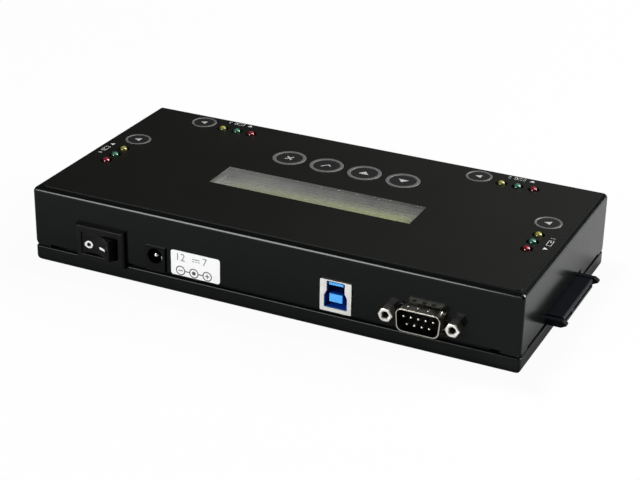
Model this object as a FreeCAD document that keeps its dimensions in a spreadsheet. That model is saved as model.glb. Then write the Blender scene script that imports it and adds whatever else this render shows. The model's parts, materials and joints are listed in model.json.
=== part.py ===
import FreeCAD, Part
import math
import os
import re
import Sketcher
from FreeCAD import Placement, Rotation, Vector

# Desk-top drive eraser: a low sheet-steel case with four drive sockets, a display and a keypad.
# Case frame: X along the case, -Y to the connector panel, Z up from the tray's underside.
# The whole part is then lifted onto its feet and centred on its own footprint.

DIMENSIONS = {
    # Case and seam
    "case_length": 196.5, "case_width": 96.2, "case_height": 30.8, "wall": 1.0, "overcut": 1.0,
    "corner_radius": 1.2, "bend_radius": 2.0, "seam_z": 6.45, "seam_gap": 0.1, "rim_radius": 0.7,
    "slot_height": 0.9, "slot_end": 7.0, "edge_radius": 0.8, "corner_notch": 2.6, "notch_height": 1.6,
    "post_x": 91, "post_y": 41, "post_radius": 3, "thread_radius": 1.25, "thread_depth": 12,
    "screw_radius": 1.2, "screw_grip": 8.4, "clearance_radius": 1.7, "head_radius": 2.6, "head_flat": 1.8,
    "head_height": 1.6,
    "foot_x": 82, "foot_y": 34, "foot_radius": 5, "foot_height": 2.4, "foot_edge": 0.5,
    # Graphic film, display window and display module
    "film": 0.25, "film_margin": 2.4, "film_corner": 2.0, "fit_gap": 0.15,
    "window_x": 0.5, "window_y": -5.4, "window_length": 82.6, "window_width": 16.3,
    "lcd_length": 116, "lcd_width": 37, "lcd_hole_x": 55.5, "lcd_hole_y": 16,
    "bezel_length": 100, "bezel_width": 29, "bezel_height": 5, "bezel_wall": 0.6,
    "glass_thickness": 2.6, "lcd_header_length": 40.6, "header_width": 2.5,
    # Boards and their stack
    "board": 1.6, "board_z": 6.0, "board_half_length": 92, "board_back": 41.85, "board_front": 46,
    "corner_cut_x": 86.5, "corner_cut_y": 36.5, "control_z": 18.0, "control_front": 24.5,
    "control_back": 45, "stack_x": 76, "stack_front": -8, "stack_back": 28, "hex_radius": 2.9,
    "stud_length": 4, "board_hole": 1.4, "lcd_gap": 1.4, "stack_header_length": 26, "stack_header_y": 30,
    "stack_header_width": 5, "bay_gap": 1.0,
    # Keys and lamps
    "key_diameter": 13.5, "key_pitch": 16.2, "key_row_x": 0.3, "key_row_y": 21.2, "key_rim": 1.4,
    "go_diameter": 10.4, "go_rim": 0.7, "key_gap": 0.2, "key_rise": 0.25, "key_dish": 0.15,
    "key_flange": 0.9, "key_flange_height": 1.2, "key_stop": 0.1, "stem_radius": 1.6,
    "tact_size": 6, "tact_height": 3.4, "tact_hole_depth": 1.7, "stem_entry": 0.9,
    "side_go_x": 86.8, "side_go_y": 10.35, "side_led_gap": 11.3,
    "right_go_x": 49.05, "left_go_x": -72.3, "back_go_y": 39.1, "back_led_gap": 10.0, "back_led_y": 36.75,
    "led_pitch": 6.5, "led_radius": 1.5, "led_rise": 1.15, "led_base_z": 26.5, "led_flange": 0.4,
    "led_flange_height": 1.0, "led_gap": 0.7, "led_post": 4.0,
    # Rocker switch
    "switch_x": -68.1, "switch_z": 13.0, "switch_bezel_length": 21, "switch_bezel_height": 15,
    "switch_bezel": 2.0, "switch_mouth_length": 15.9, "switch_mouth_height": 8.9,
    "switch_body_length": 18.8, "switch_body_height": 12.6, "switch_depth": 15, "switch_well": 10,
    "switch_gap": 0.1, "switch_bevel": 0.67, "rocker_half": 6.9, "rocker_end": 4.5, "rocker_valley": 2.5,
    "rocker_lip": 0.5, "rocker_edge": 0.35, "rocker_height": 8.5, "rocker_throw": 13, "rocker_tail": 3,
    "rocker_tail_half": 4, "pivot_depth": 1.0, "pivot_radius": 1.2, "pivot_play": 0.05,
    "pivot_length": 0.9, "tab_spread": 4.3, "tab_width": 4.8, "tab_thickness": 0.8, "tab_length": 8,
    "lead_radius": 0.8,
    # Power socket and its label
    "dc_x": -44.7, "dc_width": 8.4, "dc_bottom": 7.6, "dc_top": 17.7, "dc_proud": 0.9, "dc_face": 3.5,
    "dc_edge": 0.5, "dc_depth": 14, "dc_bore_z": 13.9, "dc_bore": 3.1, "dc_bore_depth": 9.5, "dc_pin": 1.05,
    "dc_pin_recess": 1.5, "dc_leaf_x": 2.3, "dc_leaf_width": 1.6, "dc_leaf": 0.3, "dc_leaf_recess": 1.0,
    "socket_clear": 0.35,
    "label_x": -28.0, "label_length": 20.5, "label_bottom": 7.9, "label_height": 10.0, "label_film": 0.12,
    "label_corner": 1.0,
    # Data socket
    "usb_x": 28.9, "usb_width": 12.2, "usb_bottom": 7.9, "usb_height": 12.4, "usb_proud": 0.5,
    "usb_depth": 17.6, "usb_sheet": 0.4, "usb_half_low": 4.5, "usb_half_high": 3.55, "usb_mouth_bottom": 9.4,
    "usb_shoulder_low": 14.2, "usb_shoulder_high": 15.9, "usb_mouth_top": 19.9, "usb_mouth_depth": 8.5,
    "usb_tongue_half": 2.5, "usb_tongue_low": 11.8, "usb_tongue_high": 14.9, "usb_bar_half": 2.8,
    "usb_bar_low": 18.4, "usb_bar_high": 19.3, "usb_contact": 0.15, "usb_contact_width": 0.7,
    "usb_contact_pitch": 1.2, "usb_contact_recess": 1.0,
    # Nine-way serial plug
    "serial_x": 62.1, "serial_z": 13.7, "serial_reach": 5.0, "serial_half_high": 8.55,
    "serial_half_low": 7.8, "serial_half_height": 4.42, "serial_corner": 2.4, "serial_sheet": 0.45,
    "serial_rim": 0.15,
    "serial_flange_length": 30.8, "serial_flange_height": 12.5, "serial_flange": 0.8, "serial_gap": 0.7,
    "serial_face": 5.0, "serial_depth": 9, "pin_pitch": 2.77, "pin_row": 2.84, "pin_radius": 0.5,
    "pin_recess": 0.4, "pin_entry": 5, "jack_spacing": 24.99, "jack_hex": 2.74, "jackscrew_reach": 4.5,
    "jack_thread": 1.15, "jack_thread_depth": 4, "jack_stud": 1.4, "jack_stud_length": 4, "jack_hole": 1.6,
    # Drive sockets
    "port_y": -2.0, "port_x": 60.6, "port_half": 16.9, "port_bottom": 6.7, "port_top": 10.1,
    "port_reach": 5.9, "port_base_half": 20.3, "port_clear": 0.3, "port_gap": 0.7, "port_edge": 0.6,
    "port_split": -7.0, "port_rib": 1.0, "port_side": 0.7, "slot_bottom": 7.7, "slot_top": 9.1,
    "slot_key": 1.2,
    "slot_key_bottom": 7.1, "slot_depth": 5.0, "port_tail": 8.0, "port_tail_half": 18, "arm_reach": 7.7,
    "arm_inner": 17.8, "arm_outer": 20.0, "arm_bottom": 7.5, "arm_top": 10.0, "arm_beak": 1.5,
    "arm_chin": 2.0, "arm_tip_low": 8.5, "arm_tip_high": 9.0, "contact_pitch": 1.27, "contact_width": 0.8,
    "contact_sheet": 0.25, "contact_length": 4.0,
    # Parts on the main board
    "chip": 17, "chip_height": 1.4, "bridge": 9, "bridge_height": 1.1, "bridge_x": 30, "bridge_y": 20,
    "can_radius": 3.15, "can_height": 7, "can_edge": 0.5, "can_back": 9, "choke": 7, "choke_height": 4,
    "choke_back": 20,
}
CONTACTS_SHORT = 7
CONTACTS_LONG = 15

doc = FreeCAD.newDocument("drive_eraser")
sheet = doc.addObject("Spreadsheet::Sheet", "dims")
for row, (alias, size) in enumerate(DIMENSIONS.items(), start=1):
    sheet.set(f"A{row}", alias)
    sheet.set(f"B{row}", str(size))
    sheet.setAlias(f"B{row}", alias)
doc.recompute()

BOARD_TOP = "(board_z + board)"
CONTROL_TOP = "(control_z + board)"
COVER_BOTTOM = "(seam_z + seam_gap)"
SLOT_TOP = f"({COVER_BOTTOM} + slot_height)"
CEILING = "(case_height - wall)"
FILM_TOP = "(case_height + film)"
PANEL = "(-case_width / 2)"
LCD_BOTTOM = f"({CONTROL_TOP} + lcd_gap)"
BEZEL_BOTTOM = f"({LCD_BOTTOM} + board)"
TACT_TOP = f"({CONTROL_TOP} + tact_height)"
CASE_SHIFT = "(serial_reach - arm_reach) / 2"
NEAR = 1e-4

nodes = {}


def sized(text):
    """An expression in which each driving dimension is read from the sheet."""
    words = re.compile(r"[a-z_][a-z0-9_]*")
    return words.sub(lambda word: f"dims.{word[0]}" if word[0] in DIMENSIONS else word[0], str(text))


def value(text):
    return float(sheet.evalExpression(sized(text)))


def bind(thing, target, text):
    thing.setExpression(target, sized(text))


def place(thing, x, y, z):
    for letter, text in zip("xyz", (x, y, z)):
        bind(thing, f"Placement.Base.{letter}", text)


def node(label, thing, x="0", y="0", z="0", turn=0):
    """Name a finished piece and set it in the part's own frame, turned about Z."""
    thing.Label = label
    thing.Placement = Placement(Vector(), Rotation(Vector(0, 0, 1), turn))
    place(thing, x, f"{y} + {CASE_SHIFT}", f"{z} + foot_height")
    nodes[label] = thing
    return thing


# Solid primitives, booleans and groups


def block(name, low, high):
    """A box between two corners."""
    thing = doc.addObject("Part::Box", name)
    for target, a, b in zip(("Length", "Width", "Height"), low, high):
        bind(thing, target, f"({b}) - ({a})")
    place(thing, *low)
    return thing


def rod(name, x, y, z, radius, length, along=Vector(0, 0, 1)):
    thing = doc.addObject("Part::Cylinder", name)
    thing.Placement = Placement(Vector(), Rotation(Vector(0, 0, 1), along))
    bind(thing, "Radius", radius)
    bind(thing, "Height", length)
    place(thing, x, y, z)
    return thing


def hexagon(name, x, y, z, radius, length, along=Vector(0, 0, 1)):
    thing = doc.addObject("Part::Prism", name)
    thing.Polygon = 6
    thing.Placement = Placement(Vector(), Rotation(Vector(0, 0, 1), along))
    bind(thing, "Circumradius", radius)
    bind(thing, "Height", length)
    place(thing, x, y, z)
    return thing


def fuse(name, *pieces):
    thing = doc.addObject("Part::MultiFuse", name)
    thing.Shapes = list(pieces)
    return thing


def cut(name, base, *tools):
    thing = doc.addObject("Part::Cut", name)
    thing.Base = base
    thing.Tool = tools[0] if len(tools) == 1 else fuse(f"{name}_tools", *tools)
    return thing


def group(name, *pieces):
    thing = doc.addObject("Part::Compound", name)
    thing.Links = list(pieces)
    return thing


def scatter(name, piece, places):
    """Copies of one piece, each a solid of its own, at a list of places."""
    copies = []
    for number, spot in enumerate(places, start=1):
        copy = doc.addObject("App::Link", f"{name}_{number}")
        copy.LinkedObject = piece
        place(copy, *spot)
        copies.append(copy)
    return group(name, *copies)


# Bodies, sketches and features


def body(name):
    return doc.addObject("PartDesign::Body", name)


def sketch_on(owner, name, plane, offset="0"):
    sketch = owner.newObject("Sketcher::SketchObject", name)
    support = next(part for part in owner.Origin.OriginFeatures if part.Role == plane)
    sketch.AttachmentSupport = [(support, "")]
    sketch.MapMode = "FlatFace"
    bind(sketch, "AttachmentOffset.Base.z", offset)
    return sketch


def hold(sketch, kind, line, point, text):
    spot = sketch.addConstraint(Sketcher.Constraint(kind, -1, 1, line, point, value(text)))
    sketch.setExpression(f"Constraints[{spot}]", sized(text))


def polygon(sketch, points):
    """A closed outline with each corner held at its own place."""
    corners = [Vector(value(x), value(y), 0) for x, y in points]
    first = sketch.GeometryCount
    for here, there in zip(corners, corners[1:] + corners[:1]):
        sketch.addGeometry(Part.LineSegment(here, there))
    for number, (x, y) in enumerate(points):
        line = first + number
        following = first + (number + 1) % len(points)
        sketch.addConstraint(Sketcher.Constraint("Coincident", line, 2, following, 1))
        hold(sketch, "DistanceX", line, 1, x)
        hold(sketch, "DistanceY", line, 1, y)


def rectangle(sketch, left, bottom, right, top):
    polygon(sketch, [(left, bottom), (right, bottom), (right, top), (left, top)])


def circle(sketch, x, y, radius):
    ring = sketch.addGeometry(Part.Circle(Vector(value(x), value(y), 0), Vector(0, 0, 1), value(radius)))
    hold(sketch, "DistanceX", ring, 3, x)
    hold(sketch, "DistanceY", ring, 3, y)
    spot = sketch.addConstraint(Sketcher.Constraint("Radius", ring, value(radius)))
    sketch.setExpression(f"Constraints[{spot}]", sized(radius))


def quarter_hollow(sketch, face, side, level, radius):
    """What a rounded lower edge takes off: the corner of a face and a level, outside an arc."""
    across = value(face)
    height = value(level)
    size = value(radius)
    inner = across - side * size
    first = sketch.GeometryCount
    corner = Vector(across, height, 0)
    upper = Vector(across, height + size, 0)
    lower = Vector(inner, height, 0)
    sketch.addGeometry(Part.LineSegment(lower, corner))
    sketch.addGeometry(Part.LineSegment(corner, upper))
    ring = Part.Circle(Vector(inner, height + size, 0), Vector(0, 0, 1), size)
    start, end = (1.5 * math.pi, 2 * math.pi) if side > 0 else (math.pi, 1.5 * math.pi)
    arc = sketch.addGeometry(Part.ArcOfCircle(ring, start, end))
    upper_end, lower_end = (2, 1) if side > 0 else (1, 2)
    sketch.addConstraint(Sketcher.Constraint("Coincident", first, 2, first + 1, 1))
    sketch.addConstraint(Sketcher.Constraint("Coincident", first + 1, 2, arc, upper_end))
    sketch.addConstraint(Sketcher.Constraint("Coincident", first, 1, arc, lower_end))
    hold(sketch, "DistanceX", first + 1, 1, face)
    hold(sketch, "DistanceY", first + 1, 1, level)
    hold(sketch, "DistanceX", first + 1, 2, face)
    hold(sketch, "DistanceY", first + 1, 2, f"{level} + {radius}")
    hold(sketch, "DistanceX", first, 1, f"{face} - ({side}) * {radius}")
    hold(sketch, "DistanceX", arc, 3, f"{face} - ({side}) * {radius}")
    hold(sketch, "DistanceY", arc, 3, f"{level} + {radius}")


def pad(owner, sketch, length, reverse=False):
    feature = owner.newObject("PartDesign::Pad", f"{sketch.Name}_pad")
    feature.Profile = sketch
    feature.Reversed = reverse
    bind(feature, "Length", length)
    return feature


def pocket(owner, sketch, length, reverse=False, both_ways=False):
    feature = owner.newObject("PartDesign::Pocket", f"{sketch.Name}_pocket")
    feature.Profile = sketch
    feature.Reversed = reverse
    if both_ways:
        feature.SideType = "Symmetric"
    bind(feature, "Length", length)
    return feature


def dress(owner, kind, name, size, chosen):
    """A fillet or chamfer along the edges that a test picks."""
    doc.recompute()
    base = owner.Tip
    edges = [f"Edge{n}" for n, edge in enumerate(base.Shape.Edges, start=1) if chosen(edge.BoundBox)]
    feature = owner.newObject(f"PartDesign::{kind}", name)
    feature.Base = (base, edges)
    bind(feature, "Radius" if kind == "Fillet" else "Size", size)
    return feature


def turned(name, profile):
    """A body turned about Z from a half profile of radius and height."""
    owner = body(name)
    sketch = sketch_on(owner, f"{name}_profile", "XZ_Plane")
    polygon(sketch, profile)
    feature = owner.newObject("PartDesign::Revolution", f"{name}_turn")
    feature.Profile = sketch
    feature.ReferenceAxis = (sketch, ["V_Axis"])
    feature.Angle = 360
    return owner


def upright(box):
    return box.XLength < NEAR and box.YLength < NEAR


def at_height(text):
    level = value(text)
    return lambda box: abs(box.ZMin - level) < NEAR and abs(box.ZMax - level) < NEAR


def at_depth(text):
    level = value(text)
    return lambda box: abs(box.YMin - level) < NEAR and abs(box.YMax - level) < NEAR


def lengthwise(box):
    return box.XLength < NEAR and box.ZLength < NEAR


def four_corners(x, y):
    return [(f"({sx}{x})", f"({sy}{y})") for sx in ("-", "") for sy in ("-", "")]


# Where keys and lamps stand on the top

KEY_SPOTS = {
    name: (f"key_row_x + ({step}) * key_pitch", "key_row_y")
    for name, step in {"key_escape": -1.5, "key_enter": -0.5, "key_down": 0.5, "key_up": 1.5}.items()
}
GO_SPOTS = {
    "start_key_1": ("side_go_x", "side_go_y"),
    "start_key_2": ("right_go_x", "back_go_y"),
    "start_key_3": ("left_go_x", "back_go_y"),
    "start_key_4": ("-side_go_x", "side_go_y"),
}


def lamp_spots(step):
    """The four lamps of one colour, the given number of pitches on from the first."""
    run = f"{step} * led_pitch"
    return [
        ("side_go_x", f"side_go_y - side_led_gap - {run}"),
        (f"right_go_x + back_led_gap + {run}", "back_led_y"),
        (f"left_go_x + back_led_gap + {run}", "back_led_y"),
        ("-side_go_x", f"side_go_y - side_led_gap - {run}"),
    ]


LAMP_COLOURS = {"leds_yellow": 0, "leds_green": 1, "leds_red": 2}
ALL_LAMPS = [spot for step in LAMP_COLOURS.values() for spot in lamp_spots(step)]
STACK_SPOTS = [(f"{side}stack_x", row) for side in ("-", "") for row in ("stack_front", "stack_back")]
JACK_SPOTS = [f"serial_x {side} jack_spacing / 2" for side in "-+"]


def top_openings(sketch, play):
    """Openings in the top for the window, the keys and the lamps, with the same play round each."""
    half_length = f"(window_length / 2 + {play})"
    half_width = f"(window_width / 2 + {play})"
    rectangle(
        sketch,
        f"window_x - {half_length}", f"window_y - {half_width}",
        f"window_x + {half_length}", f"window_y + {half_width}",
    )
    for x, y in KEY_SPOTS.values():
        circle(sketch, x, y, f"key_diameter / 2 + {play}")
    for x, y in GO_SPOTS.values():
        circle(sketch, x, y, f"go_diameter / 2 + {play}")
    for x, y in ALL_LAMPS:
        circle(sketch, x, y, f"led_radius + led_gap + {play}")


def case_outline(sketch, inset="0"):
    half_length = f"(case_length / 2 - {inset})"
    half_width = f"(case_width / 2 - {inset})"
    rectangle(sketch, f"-{half_length}", f"-{half_width}", half_length, half_width)


def make_tray():
    tray = body("tray")
    outline = sketch_on(tray, "tray_outline", "XY_Plane")
    case_outline(outline)
    pad(tray, outline, "seam_z")
    dress(tray, "Fillet", "tray_corners", "corner_radius", upright)
    dress(tray, "Fillet", "tray_bends", "bend_radius", at_height("0"))
    dress(tray, "Fillet", "tray_rim", "rim_radius", at_height("seam_z"))
    hollow = sketch_on(tray, "tray_hollow", "XY_Plane", "wall")
    case_outline(hollow, "wall")
    pocket(tray, hollow, "seam_z", reverse=True)
    holes = sketch_on(tray, "tray_holes", "XY_Plane")
    for x, y in four_corners("post_x", "post_y"):
        circle(holes, x, y, "clearance_radius")
    pocket(tray, holes, "2 * wall", reverse=True)
    node("bottom_tray", tray)


def edge_cutouts(reach, notches):
    """The cover's lower edge: a vent slot between the corners, stepped up over each connector."""
    points = [(f"-({reach})", "0"), (f"-({reach})", SLOT_TOP)]
    for left, right, top in notches:
        points += [(left, SLOT_TOP), (left, top), (right, top), (right, SLOT_TOP)]
    return points + [(reach, SLOT_TOP), (reach, "0")]


def round_edge(cover, name, plane, offset, half, sides, level, length):
    """Round the cover's outer lower edge over an opening, on one side or on two opposite sides."""
    sketch = sketch_on(cover, name, plane, offset)
    for side in sides:
        quarter_hollow(sketch, f"({side}) * {half}", side, level, "edge_radius")
    pocket(cover, sketch, length, both_ways=True)


def serial_outline(sketch, grow):
    """The plug's tapered outline, wider at the top, grown by a gap."""
    high = f"(serial_half_high + {grow})"
    low = f"(serial_half_low + {grow})"
    tall = f"(serial_half_height + {grow})"
    polygon(sketch, [
        (f"serial_x - {low}", f"serial_z - {tall}"), (f"serial_x + {low}", f"serial_z - {tall}"),
        (f"serial_x + {high}", f"serial_z + {tall}"), (f"serial_x - {high}", f"serial_z + {tall}"),
    ])


def make_cover():
    cover = body("cover")
    outline = sketch_on(cover, "cover_outline", "XY_Plane", COVER_BOTTOM)
    case_outline(outline)
    pad(cover, outline, f"case_height - {COVER_BOTTOM}")
    dress(cover, "Fillet", "cover_corners", "corner_radius", upright)
    dress(cover, "Fillet", "cover_bends", "bend_radius", at_height("case_height"))
    dress(cover, "Fillet", "cover_lower_edge", "edge_radius", at_height(COVER_BOTTOM))
    hollow = sketch_on(cover, "cover_hollow", "XY_Plane", COVER_BOTTOM)
    case_outline(hollow, "wall")
    pocket(cover, hollow, f"{CEILING} - {COVER_BOTTOM}", reverse=True)
    dress(cover, "Fillet", "cover_inner_bends", "bend_radius - wall", at_height(CEILING))

    openings = sketch_on(cover, "cover_openings", "XY_Plane", "case_height")
    top_openings(openings, "2 * fit_gap")
    pocket(cover, openings, "2 * wall")

    # Connector panel: switch, power and data sockets open to the lower edge, the serial plug closed
    panel = sketch_on(cover, "cover_panel", "XZ_Plane", "case_width / 2")
    polygon(panel, edge_cutouts("case_length / 2 - slot_end", [
        ("switch_x - switch_body_length / 2 - switch_gap", "switch_x + switch_body_length / 2 + switch_gap",
         "switch_z + switch_body_height / 2 + switch_gap"),
        ("dc_x - dc_width / 2 - socket_clear", "dc_x + dc_width / 2 + socket_clear", "dc_top + socket_clear"),
        ("usb_x - usb_width / 2 - socket_clear", "usb_x + usb_width / 2 + socket_clear",
         "usb_bottom + usb_height + socket_clear"),
    ]))
    for x in JACK_SPOTS:
        circle(panel, x, "serial_z", "jack_hole")
    pocket(cover, panel, "2 * wall")
    plug = sketch_on(cover, "cover_plug", "XZ_Plane", "case_width / 2")
    serial_outline(plug, "serial_gap")
    pocket(cover, plug, "2 * wall")
    middle = value("serial_x")
    reach = value("serial_half_high + serial_gap + fit_gap")
    floor = value("serial_z - serial_half_height - serial_gap - fit_gap")
    dress(cover, "Fillet", "cover_plug_corners", "serial_corner + serial_gap",
          lambda box: lengthwise(box) and abs(box.XMin - middle) < reach and box.ZMin > floor)

    # Ends and back: drive sockets open to the lower edge
    half = "(port_base_half + port_clear)"
    top = "(port_top + port_gap)"
    ends = sketch_on(cover, "cover_ends", "YZ_Plane")
    polygon(ends, edge_cutouts("case_width / 2 - slot_end", [(f"port_y - {half}", f"port_y + {half}", top)]))
    pocket(cover, ends, "2 * case_length", both_ways=True)
    back = sketch_on(cover, "cover_back", "XZ_Plane", "-case_width / 2")
    polygon(back, edge_cutouts("case_length / 2 - slot_end", [
        (f"{side}port_x - {half}", f"{side}port_x + {half}", top) for side in ("-", "")
    ]))
    pocket(cover, back, "2 * wall", reverse=True)

    # The outer edge over the slot and over each drive socket is rounded
    long_half = "case_length / 2"
    wide_half = "case_width / 2"
    both = (-1, 1)
    round_edge(cover, "slot_long_edges", "YZ_Plane", "0", wide_half, both, SLOT_TOP,
               "case_length - 2 * slot_end")
    round_edge(cover, "slot_end_edges", "XZ_Plane", "0", long_half, both, SLOT_TOP,
               "case_width - 2 * slot_end")
    round_edge(cover, "port_end_edges", "XZ_Plane", "-port_y", long_half, both, top, f"2 * {half}")
    for name, side in (("left", "-"), ("right", "")):
        round_edge(cover, f"port_{name}_edge", "YZ_Plane", f"{side}port_x", wide_half, (1,), top,
                   f"2 * {half}")

    notches = sketch_on(cover, "cover_notches", "XY_Plane", COVER_BOTTOM)
    for x, y in four_corners("case_length / 2", "case_width / 2"):
        circle(notches, x, y, "corner_notch / 2")
    pocket(cover, notches, "notch_height", reverse=True)
    node("top_cover", cover)


def screw(name, seat, tip, way):
    """A pan-head screw from its seat to its tip; its head stands up (+) or down (-) from the seat."""
    crown = f"{seat} {way} head_height"
    return turned(name, [
        ("0", tip), ("screw_radius", tip), ("screw_radius", seat), ("head_radius", seat),
        ("head_radius", f"{seat} {way} head_height / 2"), ("head_flat", crown), ("0", crown),
    ])


def make_case_fixings():
    post = cut(
        "post",
        rod("post_bar", "0", "0", "wall", "post_radius", f"{CEILING} - wall"),
        rod("post_thread", "0", "0", "wall", "thread_radius", "thread_depth"),
    )
    corners = [(x, y, "0") for x, y in four_corners("post_x", "post_y")]
    node("cover_posts", scatter("posts", post, corners))
    node("cover_screws", scatter("case_screws", screw("case_screw", "0", "screw_grip", "-"), corners))
    foot = turned("foot", [
        ("0", "-foot_height"), ("foot_radius - 2 * foot_edge", "-foot_height"),
        ("foot_radius - foot_edge", "foot_edge - foot_height"), ("foot_radius", "0"), ("0", "0"),
    ])
    node("rubber_feet", scatter("feet", foot, [(x, y, "0") for x, y in four_corners("foot_x", "foot_y")]))


def make_film_and_window():
    film = body("film_sheet")
    outline = sketch_on(film, "film_outline", "XY_Plane", "case_height")
    case_outline(outline, "film_margin")
    pad(film, outline, "film")
    dress(film, "Fillet", "film_corners", "film_corner", upright)
    openings = sketch_on(film, "film_openings", "XY_Plane", FILM_TOP)
    top_openings(openings, "fit_gap")
    pocket(film, openings, "2 * film")
    node("top_overlay", film)

    window = body("window")
    pane = sketch_on(window, "window_outline", "XY_Plane", CEILING)
    rectangle(
        pane,
        "window_x - window_length / 2", "window_y - window_width / 2",
        "window_x + window_length / 2", "window_y + window_width / 2",
    )
    pad(window, pane, "wall + film")
    node("display_window", window)


def centred(x, y, z, length, width, height):
    """Two corners of a box centred on x and y and standing on z."""
    low = (f"{x} - ({length}) / 2", f"{y} - ({width}) / 2", z)
    high = (f"{x} + ({length}) / 2", f"{y} + ({width}) / 2", f"{z} + {height}")
    return low, high


def make_display():
    spot = ("window_x", "window_y")
    holes = [
        (f"window_x + {x}", f"window_y + {y}") for x, y in four_corners("lcd_hole_x", "lcd_hole_y")
    ]
    plate = block("lcd_plate", *centred(*spot, LCD_BOTTOM, "lcd_length", "lcd_width", "board"))
    drilled = [
        rod(f"lcd_hole_{n}", x, y, f"{LCD_BOTTOM} - overcut", "board_hole", "board + 2 * overcut")
        for n, (x, y) in enumerate(holes, start=1)
    ]
    node("lcd_board", cut("lcd_drilled", plate, *drilled))

    inner_length = "bezel_length - 2 * bezel_wall"
    inner_width = "bezel_width - 2 * bezel_wall"
    inner_height = "bezel_height - bezel_wall"
    can = block("bezel_can", *centred(*spot, BEZEL_BOTTOM, "bezel_length", "bezel_width", "bezel_height"))
    room = block("bezel_room", *centred(*spot, f"{BEZEL_BOTTOM} - overcut", inner_length, inner_width,
                                        f"{inner_height} + overcut"))
    view = block("bezel_view", *centred(*spot, BEZEL_BOTTOM, "window_length", "window_width",
                                        "bezel_height + overcut"))
    node("lcd_bezel", cut("bezel", can, room, view))
    light_height = f"{inner_height} - glass_thickness"
    light = block("light", *centred(*spot, BEZEL_BOTTOM, inner_length, inner_width, light_height))
    node("lcd_backlight", group("light_guide", light))
    glass = block("glass", *centred(*spot, f"{BEZEL_BOTTOM} + {light_height}", inner_length, inner_width,
                                    "glass_thickness"))
    node("lcd_glass", group("glass_pair", glass))

    sleeve = cut(
        "lcd_sleeve",
        rod("sleeve_bar", "0", "0", CONTROL_TOP, "head_radius", "lcd_gap"),
        rod("sleeve_bore", "0", "0", CONTROL_TOP, "board_hole", "lcd_gap"),
    )
    spots = [(x, y, "0") for x, y in holes]
    node("lcd_spacers", scatter("sleeves", sleeve, spots))
    node("lcd_screws", scatter("lcd_screw_set", screw("lcd_screw", BEZEL_BOTTOM, "control_z", "+"), spots))
    strip = block("lcd_strip", *centred("window_x", "window_y + lcd_hole_y", CONTROL_TOP,
                                        "lcd_header_length", "header_width", "lcd_gap"))
    node("lcd_header", group("lcd_pins", strip))


def make_boards():
    main = body("main_plate")
    outline = sketch_on(main, "main_outline", "XY_Plane", "board_z")
    bay_left = "switch_x - switch_body_length / 2 - bay_gap"
    bay_right = "switch_x + switch_body_length / 2 + bay_gap"
    bay_back = f"{PANEL} + switch_depth + bay_gap"
    polygon(outline, [
        ("-corner_cut_x", "-board_front"), (bay_left, "-board_front"), (bay_left, bay_back),
        (bay_right, bay_back), (bay_right, "-board_front"), ("corner_cut_x", "-board_front"),
        ("corner_cut_x", "-corner_cut_y"), ("board_half_length", "-corner_cut_y"),
        ("board_half_length", "corner_cut_y"), ("corner_cut_x", "corner_cut_y"),
        ("corner_cut_x", "board_back"), ("-corner_cut_x", "board_back"), ("-corner_cut_x", "corner_cut_y"),
        ("-board_half_length", "corner_cut_y"), ("-board_half_length", "-corner_cut_y"),
        ("-corner_cut_x", "-corner_cut_y"),
    ])
    for x, y in STACK_SPOTS:
        circle(outline, x, y, "board_hole")
    pad(main, outline, "board")
    node("main_board", main)

    control = body("control_plate")
    outline = sketch_on(control, "control_outline", "XY_Plane", "control_z")
    polygon(outline, [
        ("-board_half_length", "-control_front"), ("board_half_length", "-control_front"),
        ("board_half_length", "corner_cut_y"), ("corner_cut_x", "corner_cut_y"),
        ("corner_cut_x", "control_back"), ("-corner_cut_x", "control_back"),
        ("-corner_cut_x", "corner_cut_y"), ("-board_half_length", "corner_cut_y"),
    ])
    for x, y in STACK_SPOTS:
        circle(outline, x, y, "board_hole")
    for x, y in four_corners("lcd_hole_x", "lcd_hole_y"):
        circle(outline, f"window_x + {x}", f"window_y + {y}", "board_hole")
    pad(control, outline, "board")
    node("control_board", control)

    spots = [(x, y, "0") for x, y in STACK_SPOTS]
    lower = cut(
        "lower_standoff",
        hexagon("lower_hex", "0", "0", "wall", "hex_radius", "board_z - wall"),
        rod("lower_bore", "0", "0", "wall", "thread_radius", "board_z - wall"),
    )
    node("lower_standoffs", scatter("lower_set", lower, spots))
    upper = cut(
        "upper_standoff",
        fuse(
            "upper_bar",
            hexagon("upper_hex", "0", "0", BOARD_TOP, "hex_radius", f"control_z - {BOARD_TOP}"),
            rod("upper_stud", "0", "0", f"{BOARD_TOP} - stud_length", "screw_radius",
                "stud_length + overcut"),
        ),
        rod("upper_bore", "0", "0", "control_z - stud_length - overcut", "thread_radius",
            "stud_length + overcut"),
    )
    node("upper_standoffs", scatter("upper_set", upper, spots))
    fixing = screw("stack_screw", CONTROL_TOP, "control_z - stud_length", "+")
    node("control_board_screws", scatter("stack_screws", fixing, spots))
    riser = block("riser", *centred("0", "stack_header_y", BOARD_TOP, "stack_header_length",
                                    "stack_header_width", f"control_z - {BOARD_TOP}"))
    node("stacking_header", group("riser_set", riser))


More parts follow.
